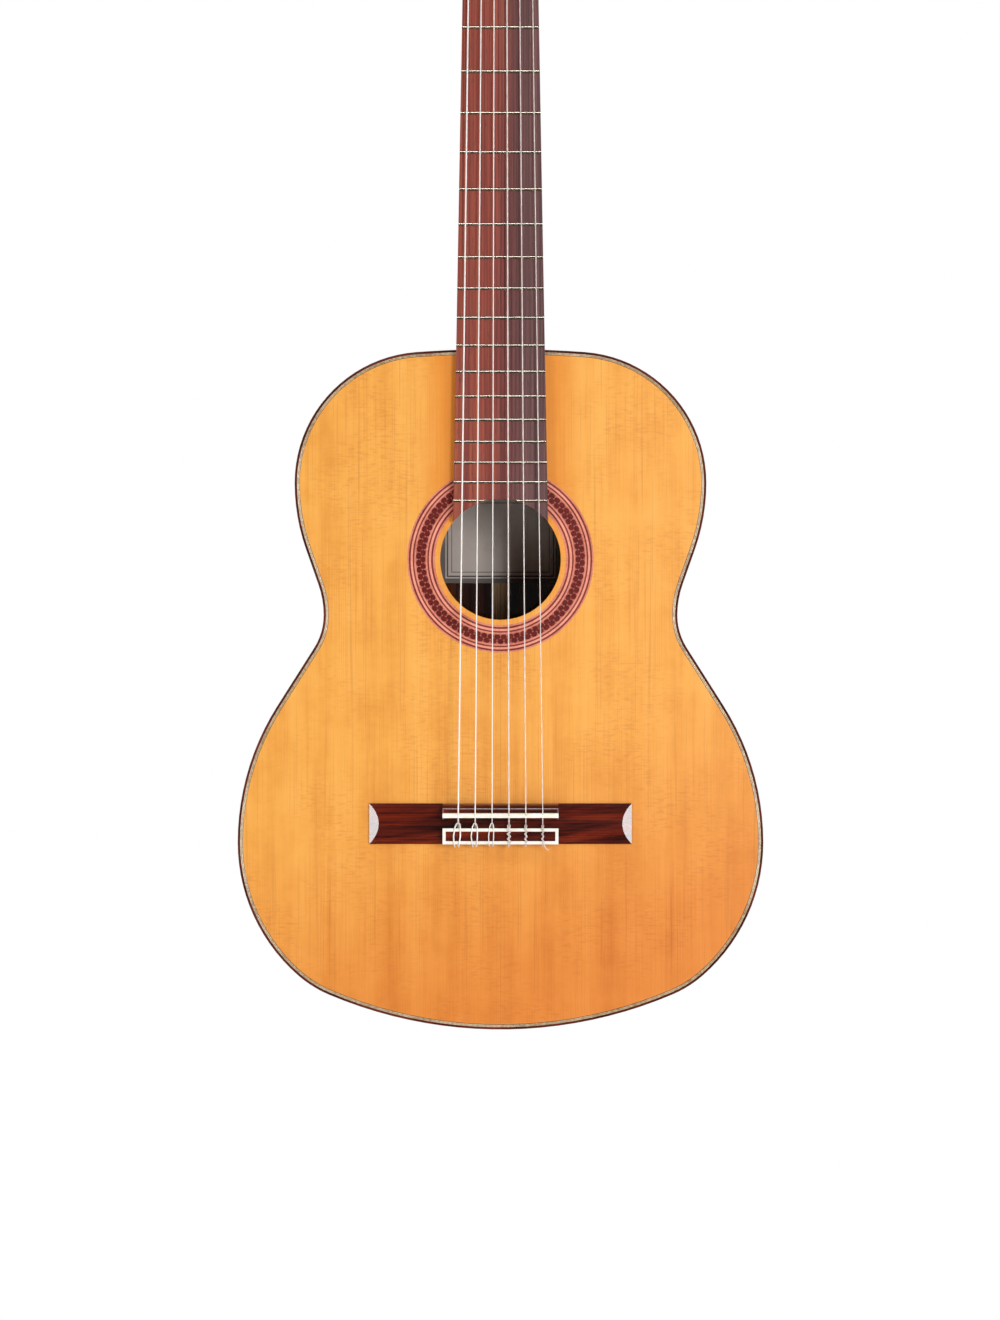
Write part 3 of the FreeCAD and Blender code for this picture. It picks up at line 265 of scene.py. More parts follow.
def label_border(low, high):
    paper = Finish("label_paper", Roughness=0.85)
    apart = paper.axes()
    # Every line is this much further from the edge at the label's sides than at its ends
    side_margin = 0.0013
    side_gap = paper.maths("SUBTRACT", high.x - side_margin, paper.maths("ABSOLUTE", apart["X"]))
    lower_gap = paper.maths("SUBTRACT", apart["Z"], low.z)
    upper_gap = paper.maths("SUBTRACT", high.z, apart["Z"])
    gap = paper.maths("MINIMUM", side_gap, paper.maths("MINIMUM", lower_gap, upper_gap))
    # From the edge inwards: where each tone starts, in metres, and how dark it is printed
    span = 0.012
    tones = [(0.0, 0.75), (0.0033, 0.0), (0.0043, 0.85), (0.0053, 0.0), (0.0075, 0.6), (0.0081, 0.0)]
    sheet, ink = Vector(tint(246, 232, 222)), Vector(tint(52, 44, 42))
    stops = [(start / span, sheet.lerp(ink, dark)) for start, dark in tones]
    printed = paper.ramp(paper.maths("DIVIDE", gap, span), stops, "CONSTANT")
    fibres = paper.noise(paper.place, 900.0, detail=4.0)
    foxing = paper.step(paper.noise(paper.place, 60.0), 0.5, 0.8)
    paper.colour(paper.mix(paper.maths("MULTIPLY", foxing, 0.25), printed, tint(190, 164, 130)))
    paper.bump(fibres, 0.00003, 0.4)
    return paper.material


dress(label_border(*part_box("label")), "label")


# Soundboard
# Two book-matched halves of western red cedar, 2.5 mm thick with the grain along the strings. Under
# a thin lacquer it is orange tan, with fine dark winter lines, broad bands and faint cross silk.

cedar = Finish("cedar_soundboard", Coat_Weight=0.3, Coat_Roughness=0.1, Roughness=0.35)
book = folded(cedar)
axes = cedar.axes()
fine = cedar.noise(cedar.stretched((1.0, 1.0, 0.006), book), 1500.0, detail=2.0, roughness=0.6)
close = cedar.noise(cedar.stretched((1.0, 1.0, 0.012), book), 420.0, detail=2.0)
bands = cedar.noise(cedar.stretched((1.0, 1.0, 0.06), book), 60.0, detail=4.0)
clouds = cedar.noise(cedar.place, 30.0, detail=6.0, roughness=0.7)
light_cedar, mid_cedar, deep_cedar = tint(246, 179, 86), tint(239, 166, 72), tint(222, 143, 51)
ground = cedar.ramp(cedar.maths("MULTIPLY_ADD", bands, 0.55, cedar.maths("MULTIPLY", clouds, 0.45)),
                    [(0.3, deep_cedar), (0.5, mid_cedar), (0.68, light_cedar)])
winter = cedar.step(fine, 0.5, 0.7)
lined = cedar.mix(cedar.maths("MULTIPLY", winter, 0.3), ground, tint(192, 104, 36))
heavier = cedar.step(close, 0.6, 0.7)
lined = cedar.mix(cedar.maths("MULTIPLY", heavier, 0.22), lined, tint(176, 92, 34))
silk = cedar.noise(cedar.stretched((0.2, 1.0, 1.0)), 700.0, detail=2.0, distortion=0.3)
patches = cedar.step(cedar.noise(cedar.place, 16.0), 0.4, 0.62)
silk_strength = cedar.maths("MULTIPLY", cedar.step(silk, 0.48, 0.66), cedar.maths("MULTIPLY", patches, 0.34))
lined = cedar.mix(silk_strength, lined, tint(206, 126, 56))
# The colour is made deeper towards the tail and the treble side, and in a band either side of the fingerboard
depth = cedar.maths("MULTIPLY_ADD", axes["Z"], -1.0, cedar.maths("MULTIPLY", axes["X"], 0.35))
lined = cedar.mix(cedar.step(depth, 0.57, 0.81), lined, tint(236, 201, 176), "MULTIPLY")
off_centre = cedar.maths("ABSOLUTE", axes["X"])
near_board = cedar.step(cedar.maths("MULTIPLY", off_centre, -1.0), -0.062, -0.03)
beside = cedar.maths("MULTIPLY", near_board, cedar.step(axes["Z"], -0.55, -0.42))
lined = cedar.mix(cedar.maths("MULTIPLY", beside, 0.65), lined, tint(230, 132, 34))
seam = cedar.step(off_centre, 0.0, 0.00025)
cedar.colour(cedar.mix(cedar.maths("MULTIPLY_ADD", seam, -0.25, 0.25), lined, tint(150, 84, 36)))
cedar.bump(winter, 0.00002, 0.35)
dress(cedar.material, "soundboard")


# Rosette
# Rings of dyed veneer, pink and dark red, glued either side of a mosaic ring into a groove
# round the soundhole and scraped flush. The mosaic is two staggered rows of dark lozenges.

hole = Vector((0.0, 0.0, -0.4738))
RING_STEPS = 240


def veneer_finish(name, shade, fleck):
    finish = Finish(name, Roughness=0.3, Coat_Weight=0.5, Coat_Roughness=0.08)
    mottle = finish.noise(finish.place, 700.0, detail=4.0)
    broad = finish.noise(finish.place, 60.0)
    tone = finish.maths("MULTIPLY_ADD", broad, 0.5, finish.maths("MULTIPLY", mottle, 0.5))
    finish.colour(finish.ramp(tone, [(0.38, fleck), (0.56, shade)]))
    finish.bump(mottle, 0.00002, 0.3)
    return finish.material


def solid_piece(name, shape, material):
    """Turns a bmesh into an object of its own, with all its faces outward."""
    bmesh.ops.recalc_face_normals(shape, faces=shape.faces)
    mesh = bpy.data.meshes.new(name)
    shape.to_mesh(mesh)
    shape.free()
    mesh.materials.append(material)
    piece = bpy.data.objects.new(name, mesh)
    bpy.context.scene.collection.objects.link(piece)
    return piece


def veneer_rings(name, rings, front, depth, material):
    """Flat rings round the soundhole, each (inner, outer) in metres, facing the player."""
    shape = bmesh.new()
    for inner, outer in rings:
        loops = []
        for radius, y in ((inner, front), (outer, front), (outer, depth), (inner, depth)):
            loop = []
            for step in range(RING_STEPS):
                angle = 2 * math.pi * step / RING_STEPS
                loop.append(shape.verts.new((radius * math.sin(angle), y, hole.z + radius * math.cos(angle))))
            loops.append(loop)
        for here, there in zip(loops, loops[1:] + loops[:1]):
            for step in range(RING_STEPS):
                after = (step + 1) % RING_STEPS
                shape.faces.new((here[step], here[after], there[after], there[step]))
    return solid_piece(name, shape, material)


def settle(piece, body="guitar", replaced=()):
    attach(piece, body)
    if replaced:
        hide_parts(*replaced)


rosette_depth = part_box("rosette")[1].y
MOSAIC = (0.0522, 0.0590)
mm = 0.001
thin_pinks = [(45.8, 47.2), (51.0, 52.2), (59.0, 60.2), (63.9, 65.0)]
wide_pinks = [(48.4, 50.0), (61.2, 62.7)]
dark_rings = [(47.2, 48.4), (50.0, 51.0), (60.2, 61.2), (62.7, 63.9)]
ring_sets = [
    ("rosette_thin_pinks", thin_pinks, tint(226, 140, 116), tint(196, 104, 84)),
    ("rosette_wide_pinks", wide_pinks, tint(240, 158, 136), tint(220, 130, 108)),
    ("rosette_dark_rings", dark_rings, tint(132, 52, 42), tint(96, 30, 24)),
]
for name, rings, shade, fleck in ring_sets:
    metres = [(inner * mm, outer * mm) for inner, outer in rings]
    ring = veneer_rings(name, metres, 0.0, rosette_depth, veneer_finish(name, shade, fleck))
    settle(ring, replaced=["rosette"])
# The ground lies this far below the lozenges' faces, so that the two never share a plane
GROUND_DROP = 0.00003
ground_finish = veneer_finish("mosaic_ground", tint(196, 112, 96), tint(140, 64, 54))
mosaic_ground = veneer_rings("rosette_mosaic_ground", [MOSAIC], GROUND_DROP, rosette_depth, ground_finish)
settle(mosaic_ground, replaced=["rosette"])

lozenge_finish = Finish("mosaic_lozenge", Roughness=0.32, Coat_Weight=0.5, Coat_Roughness=0.08)
chips = lozenge_finish.add("ShaderNodeTexVoronoi")
chips.inputs["Scale"].default_value = 1500.0
lozenge_finish.feed(chips.inputs["Vector"], lozenge_finish.place)
lozenge_reds = [(0.25, tint(76, 8, 3)), (0.6, tint(104, 16, 8)), (0.85, tint(128, 32, 22))]
lozenge_finish.colour(lozenge_finish.ramp(chips.outputs["Color"], lozenge_reds))


def new_tree(name, inputs):
    """A Geometry Nodes tree with one geometry output and the named inputs."""
    tree = bpy.data.node_groups.new(name, "GeometryNodeTree")
    tree.interface.new_socket("Geometry", in_out="OUTPUT", socket_type="NodeSocketGeometry")
    for label, kind in inputs:
        tree.interface.new_socket(label, in_out="INPUT", socket_type=kind)
    return tree, tree.nodes.new("NodeGroupInput"), tree.nodes.new("NodeGroupOutput")


def grown(name, tree, settings, start=None):
    """Runs a tree once and keeps its result as a plain mesh object."""
    start = start or bpy.data.meshes.new(name + "_start")
    holder = bpy.data.objects.new(name + "_start", start)
    bpy.context.scene.collection.objects.link(holder)
    modifier = holder.modifiers.new("grow", "NODES")
    modifier.node_group = tree
    sockets = {item.name: item.identifier for item in tree.interface.items_tree if item.in_out == "INPUT"}
    for label, value in settings.items():
        modifier[sockets[label]] = value
    evaluated = holder.evaluated_get(bpy.context.evaluated_depsgraph_get())
    mesh = bpy.data.meshes.new_from_object(evaluated)
    mesh.name = name
    bpy.data.objects.remove(holder)
    piece = bpy.data.objects.new(name, mesh)
    bpy.context.scene.collection.objects.link(piece)
    return piece


def lozenge_tree():
    """Flat eight-sided lozenges, evenly spaced on a circle and laid round the Y axis."""
    tree, given, made = new_tree("Lozenges round a hole", [
        ("Count", "NodeSocketInt"), ("Radius", "NodeSocketFloat"), ("Width", "NodeSocketFloat"),
        ("Height", "NodeSocketFloat"), ("Thickness", "NodeSocketFloat"), ("Turn", "NodeSocketFloat"),
        ("Centre", "NodeSocketVector"), ("Material", "NodeSocketMaterial")])
    make, join = tree.nodes.new, tree.links.new
    lozenge = make("GeometryNodeMeshCylinder")
    lozenge.inputs["Vertices"].default_value = 8
    lozenge.inputs["Radius"].default_value = 0.5
    join(given.outputs["Thickness"], lozenge.inputs["Depth"])
    size = make("ShaderNodeCombineXYZ")
    join(given.outputs["Width"], size.inputs["X"])
    join(given.outputs["Height"], size.inputs["Y"])
    size.inputs["Z"].default_value = 1.0
    flat = make("GeometryNodeTransform")
    join(lozenge.outputs["Mesh"], flat.inputs["Geometry"])
    join(size.outputs["Vector"], flat.inputs["Scale"])
    circle = make("GeometryNodeMeshCircle")
    join(given.outputs["Count"], circle.inputs["Vertices"])
    join(given.outputs["Radius"], circle.inputs["Radius"])
    spin = make("FunctionNodeAlignRotationToVector")
    spin.axis = "Y"
    spin.pivot_axis = "Z"
    place = make("GeometryNodeInputPosition")
    join(place.outputs["Position"], spin.inputs["Vector"])
    ring = make("GeometryNodeInstanceOnPoints")
    join(circle.outputs["Mesh"], ring.inputs["Points"])
    join(flat.outputs["Geometry"], ring.inputs["Instance"])
    join(spin.outputs["Rotation"], ring.inputs["Rotation"])
    turned = make("ShaderNodeCombineXYZ")
    join(given.outputs["Turn"], turned.inputs["Z"])
    staggered = make("GeometryNodeTransform")
    join(ring.outputs["Instances"], staggered.inputs["Geometry"])
    join(turned.outputs["Vector"], staggered.inputs["Rotation"])
    upright = make("GeometryNodeTransform")
    upright.inputs["Rotation"].default_value = (math.pi / 2, 0.0, 0.0)
    join(staggered.outputs["Geometry"], upright.inputs["Geometry"])
    join(given.outputs["Centre"], upright.inputs["Translation"])
    real = make("GeometryNodeRealizeInstances")
    join(upright.outputs["Geometry"], real.inputs["Geometry"])
    painted = make("GeometryNodeSetMaterial")
    join(real.outputs["Geometry"], painted.inputs["Geometry"])
    join(given.outputs["Material"], painted.inputs["Material"])
    join(painted.outputs["Geometry"], made.inputs["Geometry"])
    return tree


LOZENGES = 74
middle_radius = (MOSAIC[0] + MOSAIC[1]) / 2
row_gap = (MOSAIC[1] - MOSAIC[0]) * 0.45
tile_depth = rosette_depth * 0.9
lozenges = lozenge_tree()
# Each lozenge nearly touches the next in its row and reaches into the gaps of the other row
for row, name in enumerate(("rosette_inner_lozenges", "rosette_outer_lozenges")):
    radius = middle_radius + row_gap * (row - 0.5)
    pitch = 2 * math.pi * radius / LOZENGES
    tiles = grown(name, lozenges, {
        "Count": LOZENGES, "Radius": radius, "Width": pitch * 0.98, "Height": row_gap * 1.26,
        "Thickness": tile_depth, "Turn": row * math.pi / LOZENGES,
        "Centre": hole + Vector((0.0, tile_depth / 2, 0.0)), "Material": lozenge_finish.material})
    settle(tiles, replaced=["rosette"])


# Bindings, purfling and end graft
# Dark rosewood strips guard both edges of the body. Inside the front one lies the purfling: two
# pale maple strips with a hairline between them and a brown line next to the soundboard.

edge_shades = [tint(46, 15, 10), tint(84, 34, 25), tint(112, 52, 40)]
edge_rosewood = wood("edge_rosewood", edge_shades, ROUND_RIBS, 0.0008, pores=0.2, smooth=0.08, dull=0.16,
                     Coat_Weight=1.0, Coat_Roughness=0.04)
dress(edge_rosewood, "top_binding", "back_binding", "end_graft")


def pale_strip(name, light, dark):
    finish = Finish(name, Roughness=0.28, Coat_Weight=0.6, Coat_Roughness=0.06)
    specks = finish.noise(finish.place, 420.0, detail=4.0)
    broad = finish.noise(finish.place, 24.0, detail=2.0)
    tone = finish.maths("MULTIPLY_ADD", specks, 0.55, finish.maths("MULTIPLY", broad, 0.45))
    finish.colour(finish.ramp(tone, [(0.4, dark), (0.58, light)]))
    finish.bump(specks, 0.00003, 0.3)
    return finish.material


maple = pale_strip("maple", tint(206, 184, 148), tint(158, 132, 96))
brown_line = pale_strip("brown_line", tint(112, 58, 36), tint(78, 34, 22))
dress(maple, "back_centre_inlay")


def edge_of_soundboard():
    """The soundboard's own outline on its front face, in order round the body."""
    middle = Vector((0.0, 0.0, -0.52))
    # Front points nearer to the hole than this lie on the rosette's groove
    groove_reach = 0.067
    outline = {}
    for vertex in nodes["soundboard"].data.vertices:
        point = vertex.co
        if abs(point.y) < 1e-5 and (point - hole).length > groove_reach:
            away = point - middle
            outline[round(math.atan2(away.x, away.z), 5)] = (point.x, 0.0, point.z)
    return [Vector(outline[angle]) for angle in sorted(outline)]


def rim_curve(name, points):
    curve = bpy.data.curves.new(name, "CURVE")
    curve.dimensions = "3D"
    spline = curve.splines.new("POLY")
    spline.points.add(len(points) - 1)
    for spot, point in zip(spline.points, points):
        spot.co = (*point, 1.0)
    spline.use_cyclic_u = True
    return curve


def strip_tree():
    """A strip of square section that follows a closed curve in a plane facing -Y."""
    tree, given, made = new_tree("Strip along an edge", [
        ("Rim", "NodeSocketGeometry"), ("Start", "NodeSocketFloat"), ("Width", "NodeSocketFloat"),
        ("Depth", "NodeSocketFloat"), ("Material", "NodeSocketMaterial")])
    make, join = tree.nodes.new, tree.links.new
    facing = make("GeometryNodeSetCurveNormal")
    facing.mode = "FREE"
    facing.inputs["Normal"].default_value = (0.0, 1.0, 0.0)
    join(given.outputs["Rim"], facing.inputs["Curve"])
    section = make("GeometryNodeCurvePrimitiveQuadrilateral")
    join(given.outputs["Depth"], section.inputs["Width"])
    join(given.outputs["Width"], section.inputs["Height"])
    half_depth = make("ShaderNodeMath")
    half_depth.operation = "MULTIPLY"
    half_depth.inputs[1].default_value = 0.5
    join(given.outputs["Depth"], half_depth.inputs[0])
    middle = make("ShaderNodeMath")
    middle.operation = "MULTIPLY_ADD"
    middle.inputs[1].default_value = 0.5
    join(given.outputs["Width"], middle.inputs[0])
    join(given.outputs["Start"], middle.inputs[2])
    offset = make("ShaderNodeCombineXYZ")
    join(half_depth.outputs[0], offset.inputs["X"])
    join(middle.outputs[0], offset.inputs["Y"])
    moved = make("GeometryNodeTransform")
    join(section.outputs["Curve"], moved.inputs["Geometry"])
    join(offset.outputs["Vector"], moved.inputs["Translation"])
    swept = make("GeometryNodeCurveToMesh")
    join(facing.outputs["Curve"], swept.inputs["Curve"])
    join(moved.outputs["Geometry"], swept.inputs["Profile Curve"])
    real = make("GeometryNodeRealizeInstances")
    join(swept.outputs["Mesh"], real.inputs["Geometry"])
    painted = make("GeometryNodeSetMaterial")
    join(real.outputs["Geometry"], painted.inputs["Geometry"])
    join(given.outputs["Material"], painted.inputs["Material"])
    join(painted.outputs["Geometry"], made.inputs["Geometry"])
    return tree


rim = rim_curve("soundboard_rim", edge_of_soundboard())
strips = strip_tree()
purfling_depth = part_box("top_purfling")[1].y
purfling = [("purfling_brown_line", 0.0, 0.35, brown_line), ("purfling_inner_maple", 0.35, 0.75, maple),
            ("purfling_hairline", 1.1, 0.12, brown_line), ("purfling_outer_maple", 1.22, 0.78, maple)]
for name, start, width, material in purfling:
    strip = grown(name, strips, {"Start": start * mm, "Width": width * mm, "Depth": purfling_depth,
                                 "Material": material}, rim)
    settle(strip, replaced=["top_purfling"])


# Fingerboard, frets and nut
# The fingerboard is a tapering slab of rosewood, oiled rather than lacquered, with nineteen
# nickel-silver frets hammered into sawn slots. The nut is a bar of polished bone.

board = Finish("fingerboard_rosewood", Specular_IOR_Level=0.55, Coat_Weight=0.2, Coat_Roughness=0.3)
board_lines = board.noise(board.stretched((1.0, 1.0, 0.008)), 700.0, detail=4.0)
board_streaks = board.noise(board.stretched((1.0, 1.0, 0.015)), 120.0, detail=3.0)
warm = board.ramp(board.maths("MULTIPLY_ADD", board_streaks, 0.6, board.maths("MULTIPLY", board_lines, 0.4)),
                  [(0.36, tint(84, 28, 24)), (0.46, tint(128, 50, 40)), (0.54, tint(156, 72, 50)),
                   (0.66, tint(176, 94, 60))])
# The treble half of the board is painted greyer: a painted sheen standing in for light reflected off the
# oiled face, laid over the warm rosewood colour
painted_sheen_colour = board.ramp(board.maths("MULTIPLY_ADD", board_streaks, 0.5, board.maths("MULTIPLY", board_lines, 0.5)),
                  [(0.36, tint(62, 34, 36)), (0.5, tint(98, 60, 60)), (0.66, tint(124, 80, 76))])
sheen_boundary = board.maths("MULTIPLY_ADD", board_streaks, 0.02, board.axes()["X"])
painted_sheen_mask = board.step(sheen_boundary, 0.002, 0.028)
board_colour_and_sheen = board.mix(painted_sheen_mask, warm, painted_sheen_colour)
board_pores = board.noise(board.stretched((1.0, 1.0, 0.06)), 1500.0, detail=1.0)
board_pits = board.step(board_pores, 0.6, 0.7)
board.colour(board.mix(board.maths("MULTIPLY", board_pits, 0.55), board_colour_and_sheen, tint(48, 20, 18)))
board.rough(board.maths("MULTIPLY_ADD", board_pits, 0.6, board_lines), 0.3, 0.5)
board.bump(board.maths("MULTIPLY_ADD", board_pits, -0.8, board_lines), 0.00006, 0.5)
dress(board.material, "fingerboard")

fret_wire = Finish("fret_wire", Metallic=1.0)
polish = fret_wire.noise(fret_wire.stretched((0.05, 1.0, 1.0)), 2500.0, detail=2.0)
tarnish = fret_wire.noise(fret_wire.place, 90.0)
fret_wire.colour(fret_wire.mix(tarnish, tint(240, 232, 216), tint(214, 202, 182)))
fret_wire.rough(polish, 0.18, 0.24)
fret_wire.bump(polish, 0.000002, 0.2)
dress(fret_wire.material, "frets")


def bone_finish(name, light, shadow, **sockets):
    finish = Finish(name, Roughness=0.3, Subsurface_Weight=0.12, Subsurface_Scale=0.002, **sockets)
    canals = finish.noise(finish.stretched((0.15, 1.0, 1.0)), 2200.0, detail=3.0)
    broad = finish.noise(finish.place, 130.0)
    tone = finish.maths("MULTIPLY_ADD", canals, 0.35, finish.maths("MULTIPLY", broad, 0.65))
    finish.colour(finish.ramp(tone, [(0.36, shadow), (0.6, light)]))
    finish.bump(canals, 0.00001, 0.4)
    return finish.material


bone = bone_finish("bone", tint(250, 246, 236), tint(232, 222, 200))
dress(bone, "nut", "saddle")


# Bridge, saddle and trim
# The bridge is one block of rosewood glued to the soundboard and polished, with low arched wings,
# a slot for the bone saddle, a channel, and a tie block framed by raised strips of white bone.

polished = Finish("bridge_rosewood", Roughness=0.3, Specular_IOR_Level=0.2, Coat_Weight=1.0,
                  Coat_Roughness=0.05)
bridge_lines = polished.noise(polished.stretched((0.02, 1.0, 1.0)), 900.0, detail=4.0, distortion=0.2)
slanted = polished.stretched((0.1, 1.0, 1.0), lean=-0.12)
bridge_bands = polished.noise(slanted, 95.0, detail=3.0, distortion=0.8)
bridge_tone = polished.maths("MULTIPLY_ADD", bridge_bands, 0.6, polished.maths("MULTIPLY", bridge_lines, 0.4))
bridge_colour = polished.ramp(bridge_tone, [(0.36, tint(26, 3, 1)), (0.45, tint(70, 14, 3)),
                                            (0.56, tint(104, 27, 5)), (0.7, tint(138, 48, 14))])
bridge_pores = polished.noise(polished.stretched((0.08, 1.0, 1.0)), 1700.0, detail=1.0)
bridge_pits = polished.step(bridge_pores, 0.62, 0.7)
polished.colour(polished.mix(polished.maths("MULTIPLY", bridge_pits, 0.5), bridge_colour, tint(22, 4, 2)))
polished.bump(polished.maths("MULTIPLY_ADD", bridge_pits, -0.6, bridge_lines), 0.00003, 0.4)
dress(polished.material, "bridge")
dress(bone_finish("trim_bone", tint(252, 248, 240), tint(238, 228, 212), Coat_Weight=0.3), "tie_block_trim")


# Tuning machines
# Two gilt brass plates, each with three worms in folded lugs. A worm turns a gear screwed to the
# end of a white plastic capstan, and a button of imitation pearl is pressed on each worm shaft.

def gilt(name, tone, worn, smooth, dull):
    metal = Finish(name, Metallic=1.0, Anisotropic=0.3)
    brushed = metal.noise(metal.stretched((1.0, 1.0, 0.05)), 2600.0, detail=2.0)
    smudge = metal.noise(metal.place, 120.0, detail=4.0)
    metal.colour(metal.mix(metal.step(smudge, 0.45, 0.75), tone, worn))
    metal.rough(metal.maths("MULTIPLY_ADD", smudge, 0.6, metal.maths("MULTIPLY", brushed, 0.4)), smooth, dull)
    metal.bump(brushed, 0.000006, 0.5)
    return metal.material


def six(kind):
    return ["%s_%d" % (kind, number) for number in range(1, 7)]


plate_gilt = gilt("plate_gilt", tint(232, 196, 116), tint(198, 156, 84), 0.14, 0.34)
screw_gilt = gilt("screw_gilt", tint(238, 206, 130), tint(186, 146, 82), 0.12, 0.28)
gear_gilt = gilt("gear_gilt", tint(226, 188, 110), tint(176, 134, 72), 0.2, 0.42)
dress(plate_gilt, "tuner_plate_bass", "tuner_plate_treble")
dress(screw_gilt, "plate_screws", *six("worm_shaft"))
dress(gear_gilt, *six("gear"))

capstan_white = Finish("capstan_white", Roughness=0.28, Subsurface_Weight=0.1, Subsurface_Scale=0.002)
grease = capstan_white.noise(capstan_white.place, 150.0, detail=3.0)
capstan_white.colour(capstan_white.ramp(grease, [(0.4, tint(214, 206, 184)), (0.62, tint(236, 230, 214))]))
turned = capstan_white.noise(capstan_white.stretched((1.0, 0.03, 0.03)), 3000.0)
capstan_white.bump(turned, 0.00001, 0.4)
dress(capstan_white.material, *six("roller"))

pearl = Finish("pearl", Roughness=0.2, Coat_Weight=0.8, Coat_Roughness=0.05, Subsurface_Weight=0.1,
               Subsurface_Scale=0.003)
swirl = pearl.noise(pearl.place, 170.0, detail=3.0, distortion=3.0)
flakes = pearl.add("ShaderNodeTexVoronoi")
flakes.inputs["Scale"].default_value = 420.0
pearl.feed(flakes.inputs["Vector"], pearl.place)
milk = pearl.ramp(swirl, [(0.3, tint(190, 184, 176)), (0.45, tint(232, 226, 214)),
                          (0.55, tint(204, 200, 200)), (0.7, tint(246, 240, 226))])
pearl.colour(pearl.mix(pearl.maths("MULTIPLY", flakes.outputs["Distance"], 60.0), milk, tint(240, 234, 222)))
pearl.bump(swirl, 0.00003, 0.3)
dress(pearl.material, *six("button"))


# Strings
# Three trebles of clear nylon and three basses of nylon floss wound with silvered wire. Each is
# tied on the bridge, bears on the saddle and the nut, and is wound four turns on its capstan.

gauges = {6: 1.09, 5: 0.89, 4: 0.74, 3: 1.02, 2: 0.82, 1: 0.71}
saddle_lifts = {6: 13.5, 5: 13.2, 4: 12.9, 3: 12.6, 2: 12.3, 1: 11.9}
NUT_SPREAD = 42.8
SADDLE_SPREAD = 58.8
NUT_LIFT = 7.8
capstan_holes = [23.0, 20.5, 18.5]
CAPSTAN_RADIUS = 5.0
WINDS = 4

nylon = Finish("clear_nylon", Transmission_Weight=0.35, Roughness=0.15, IOR=1.53)
haze = nylon.noise(nylon.place, 260.0, detail=2.0)
nylon.colour(nylon.ramp(haze, [(0.4, tint(236, 222, 214)), (0.6, tint(250, 242, 236))]))
silver = Finish("silvered_winding", Metallic=0.25)
along_string = silver.axes(silver.add("ShaderNodeUVMap", uv_map="run").outputs["UV"])["Y"]
WIRE = 0.00021
coils = silver.maths("SINE", silver.maths("MULTIPLY", along_string, 2 * math.pi / WIRE))
wear = silver.noise(silver.place, 60.0, detail=3.0)
silver.colour(silver.mix(wear, tint(252, 250, 246), tint(232, 226, 220)))
silver.rough(wear, 0.3, 0.42)
silver.bump(coils, WIRE / 8, 0.35)


def rounded(points, radius, steps=6):
    """The same run of points with each corner turned into an arc, as large as its runs allow."""
    run = [points[0]]
    for before, corner, after in zip(points, points[1:], points[2:]):
        back, ahead = before - corner, after - corner
        turn = math.pi - back.angle(ahead)
        if turn < 0.01:
            continue
        reach = min(radius * math.tan(turn / 2), back.length * 0.45, ahead.length * 0.45)
        enter, leave = corner + back.normalized() * reach, corner + ahead.normalized() * reach
        for step in range(steps + 1):
            part = step / steps
            run.append(enter.lerp(corner, part).lerp(corner.lerp(leave, part), part))
    return run + [points[-1]]


def tube(name, points, radius, material, sides=12):
    """A closed round tube along the points, with a UV map of turn and length in metres."""
    shape = bmesh.new()
    run_map = shape.loops.layers.uv.new("run")
    rings, lengths = [], []
    travelled = 0.0
    across = None
    for index, point in enumerate(points):
        ahead = points[min(index + 1, len(points) - 1)] - points[max(index - 1, 0)]
        ahead.normalize()
        if across is None:
            across = ahead.orthogonal()
        across = (across - ahead * across.dot(ahead)).normalized()
        upward = ahead.cross(across)
        if index:
            travelled += (point - points[index - 1]).length
        lengths.append(travelled)
        ring = []
        for side in range(sides):
            angle = 2 * math.pi * side / sides
            outward = across * math.cos(angle) + upward * math.sin(angle)
            ring.append(shape.verts.new(point + outward * radius))
        rings.append(ring)
    for index, (here, there) in enumerate(zip(rings, rings[1:])):
        for side in range(sides):
            after = (side + 1) % sides
            face = shape.faces.new((here[side], here[after], there[after], there[side]))
            face.smooth = True
            corners = ((side, index), (side + 1, index), (side + 1, index + 1), (side, index + 1))
            for loop, (turned_by, ring_index) in zip(face.loops, corners):
                loop[run_map].uv = (turned_by / sides, lengths[ring_index])
    shape.faces.new(rings[0][::-1])
    shape.faces.new(rings[-1])
    return solid_piece(name, shape, material)


def at(x, y, z):
    """A point given in millimetres."""
    return Vector((x, y, z)) * mm


TIE_BLOCK_LENGTH = 11.1
bridge_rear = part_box("bridge")[0].z / mm
block_front = bridge_rear + TIE_BLOCK_LENGTH
block_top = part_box("tie_block_trim")[0].y / mm
saddle_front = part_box("saddle")[1].z / mm
hole_height = 5.0
# How far each bass string's two legs stand left and right of it, on the block and at its rear edge
bass_legs = {6: (-3.3, 1.4, -2.9, 0.5), 5: (-2.8, 1.5, -2.0, 1.2), 4: (-2.4, 1.1, -2.2, 0.9)}


def bass_tie(x, radius, left, right, left_end, right_end):
    """Up behind the block, forward over it, under the string, and back over it to a tucked end."""
    top = block_top - radius - 0.15
    middle = (bridge_rear + block_front) / 2
    return [
        at(x, -hole_height, bridge_rear - 1.0 - radius),
        at(x + right_end * 0.6, -hole_height - 2.2, bridge_rear - 1.2 - radius),
        at(x + right_end, top - 0.3, bridge_rear - 0.3),
        at(x + right, top, middle),
        at(x + right, top, block_front + 0.6),
        at(x + radius * 2.0, -8.4, block_front + 3.0),
        at(x, -8.3 + 2.1 * radius, block_front + 3.8),
        at(x - radius * 2.4, -8.6, block_front + 3.1),
        at(x + left * 0.72, top - 0.1, block_front + 0.4),
        at(x + left, top, middle),
        at(x + left_end, top - 0.2, bridge_rear + 0.2),
        at(x + left_end * 0.8, top + 2.2, bridge_rear - 1.4 - radius),
    ]


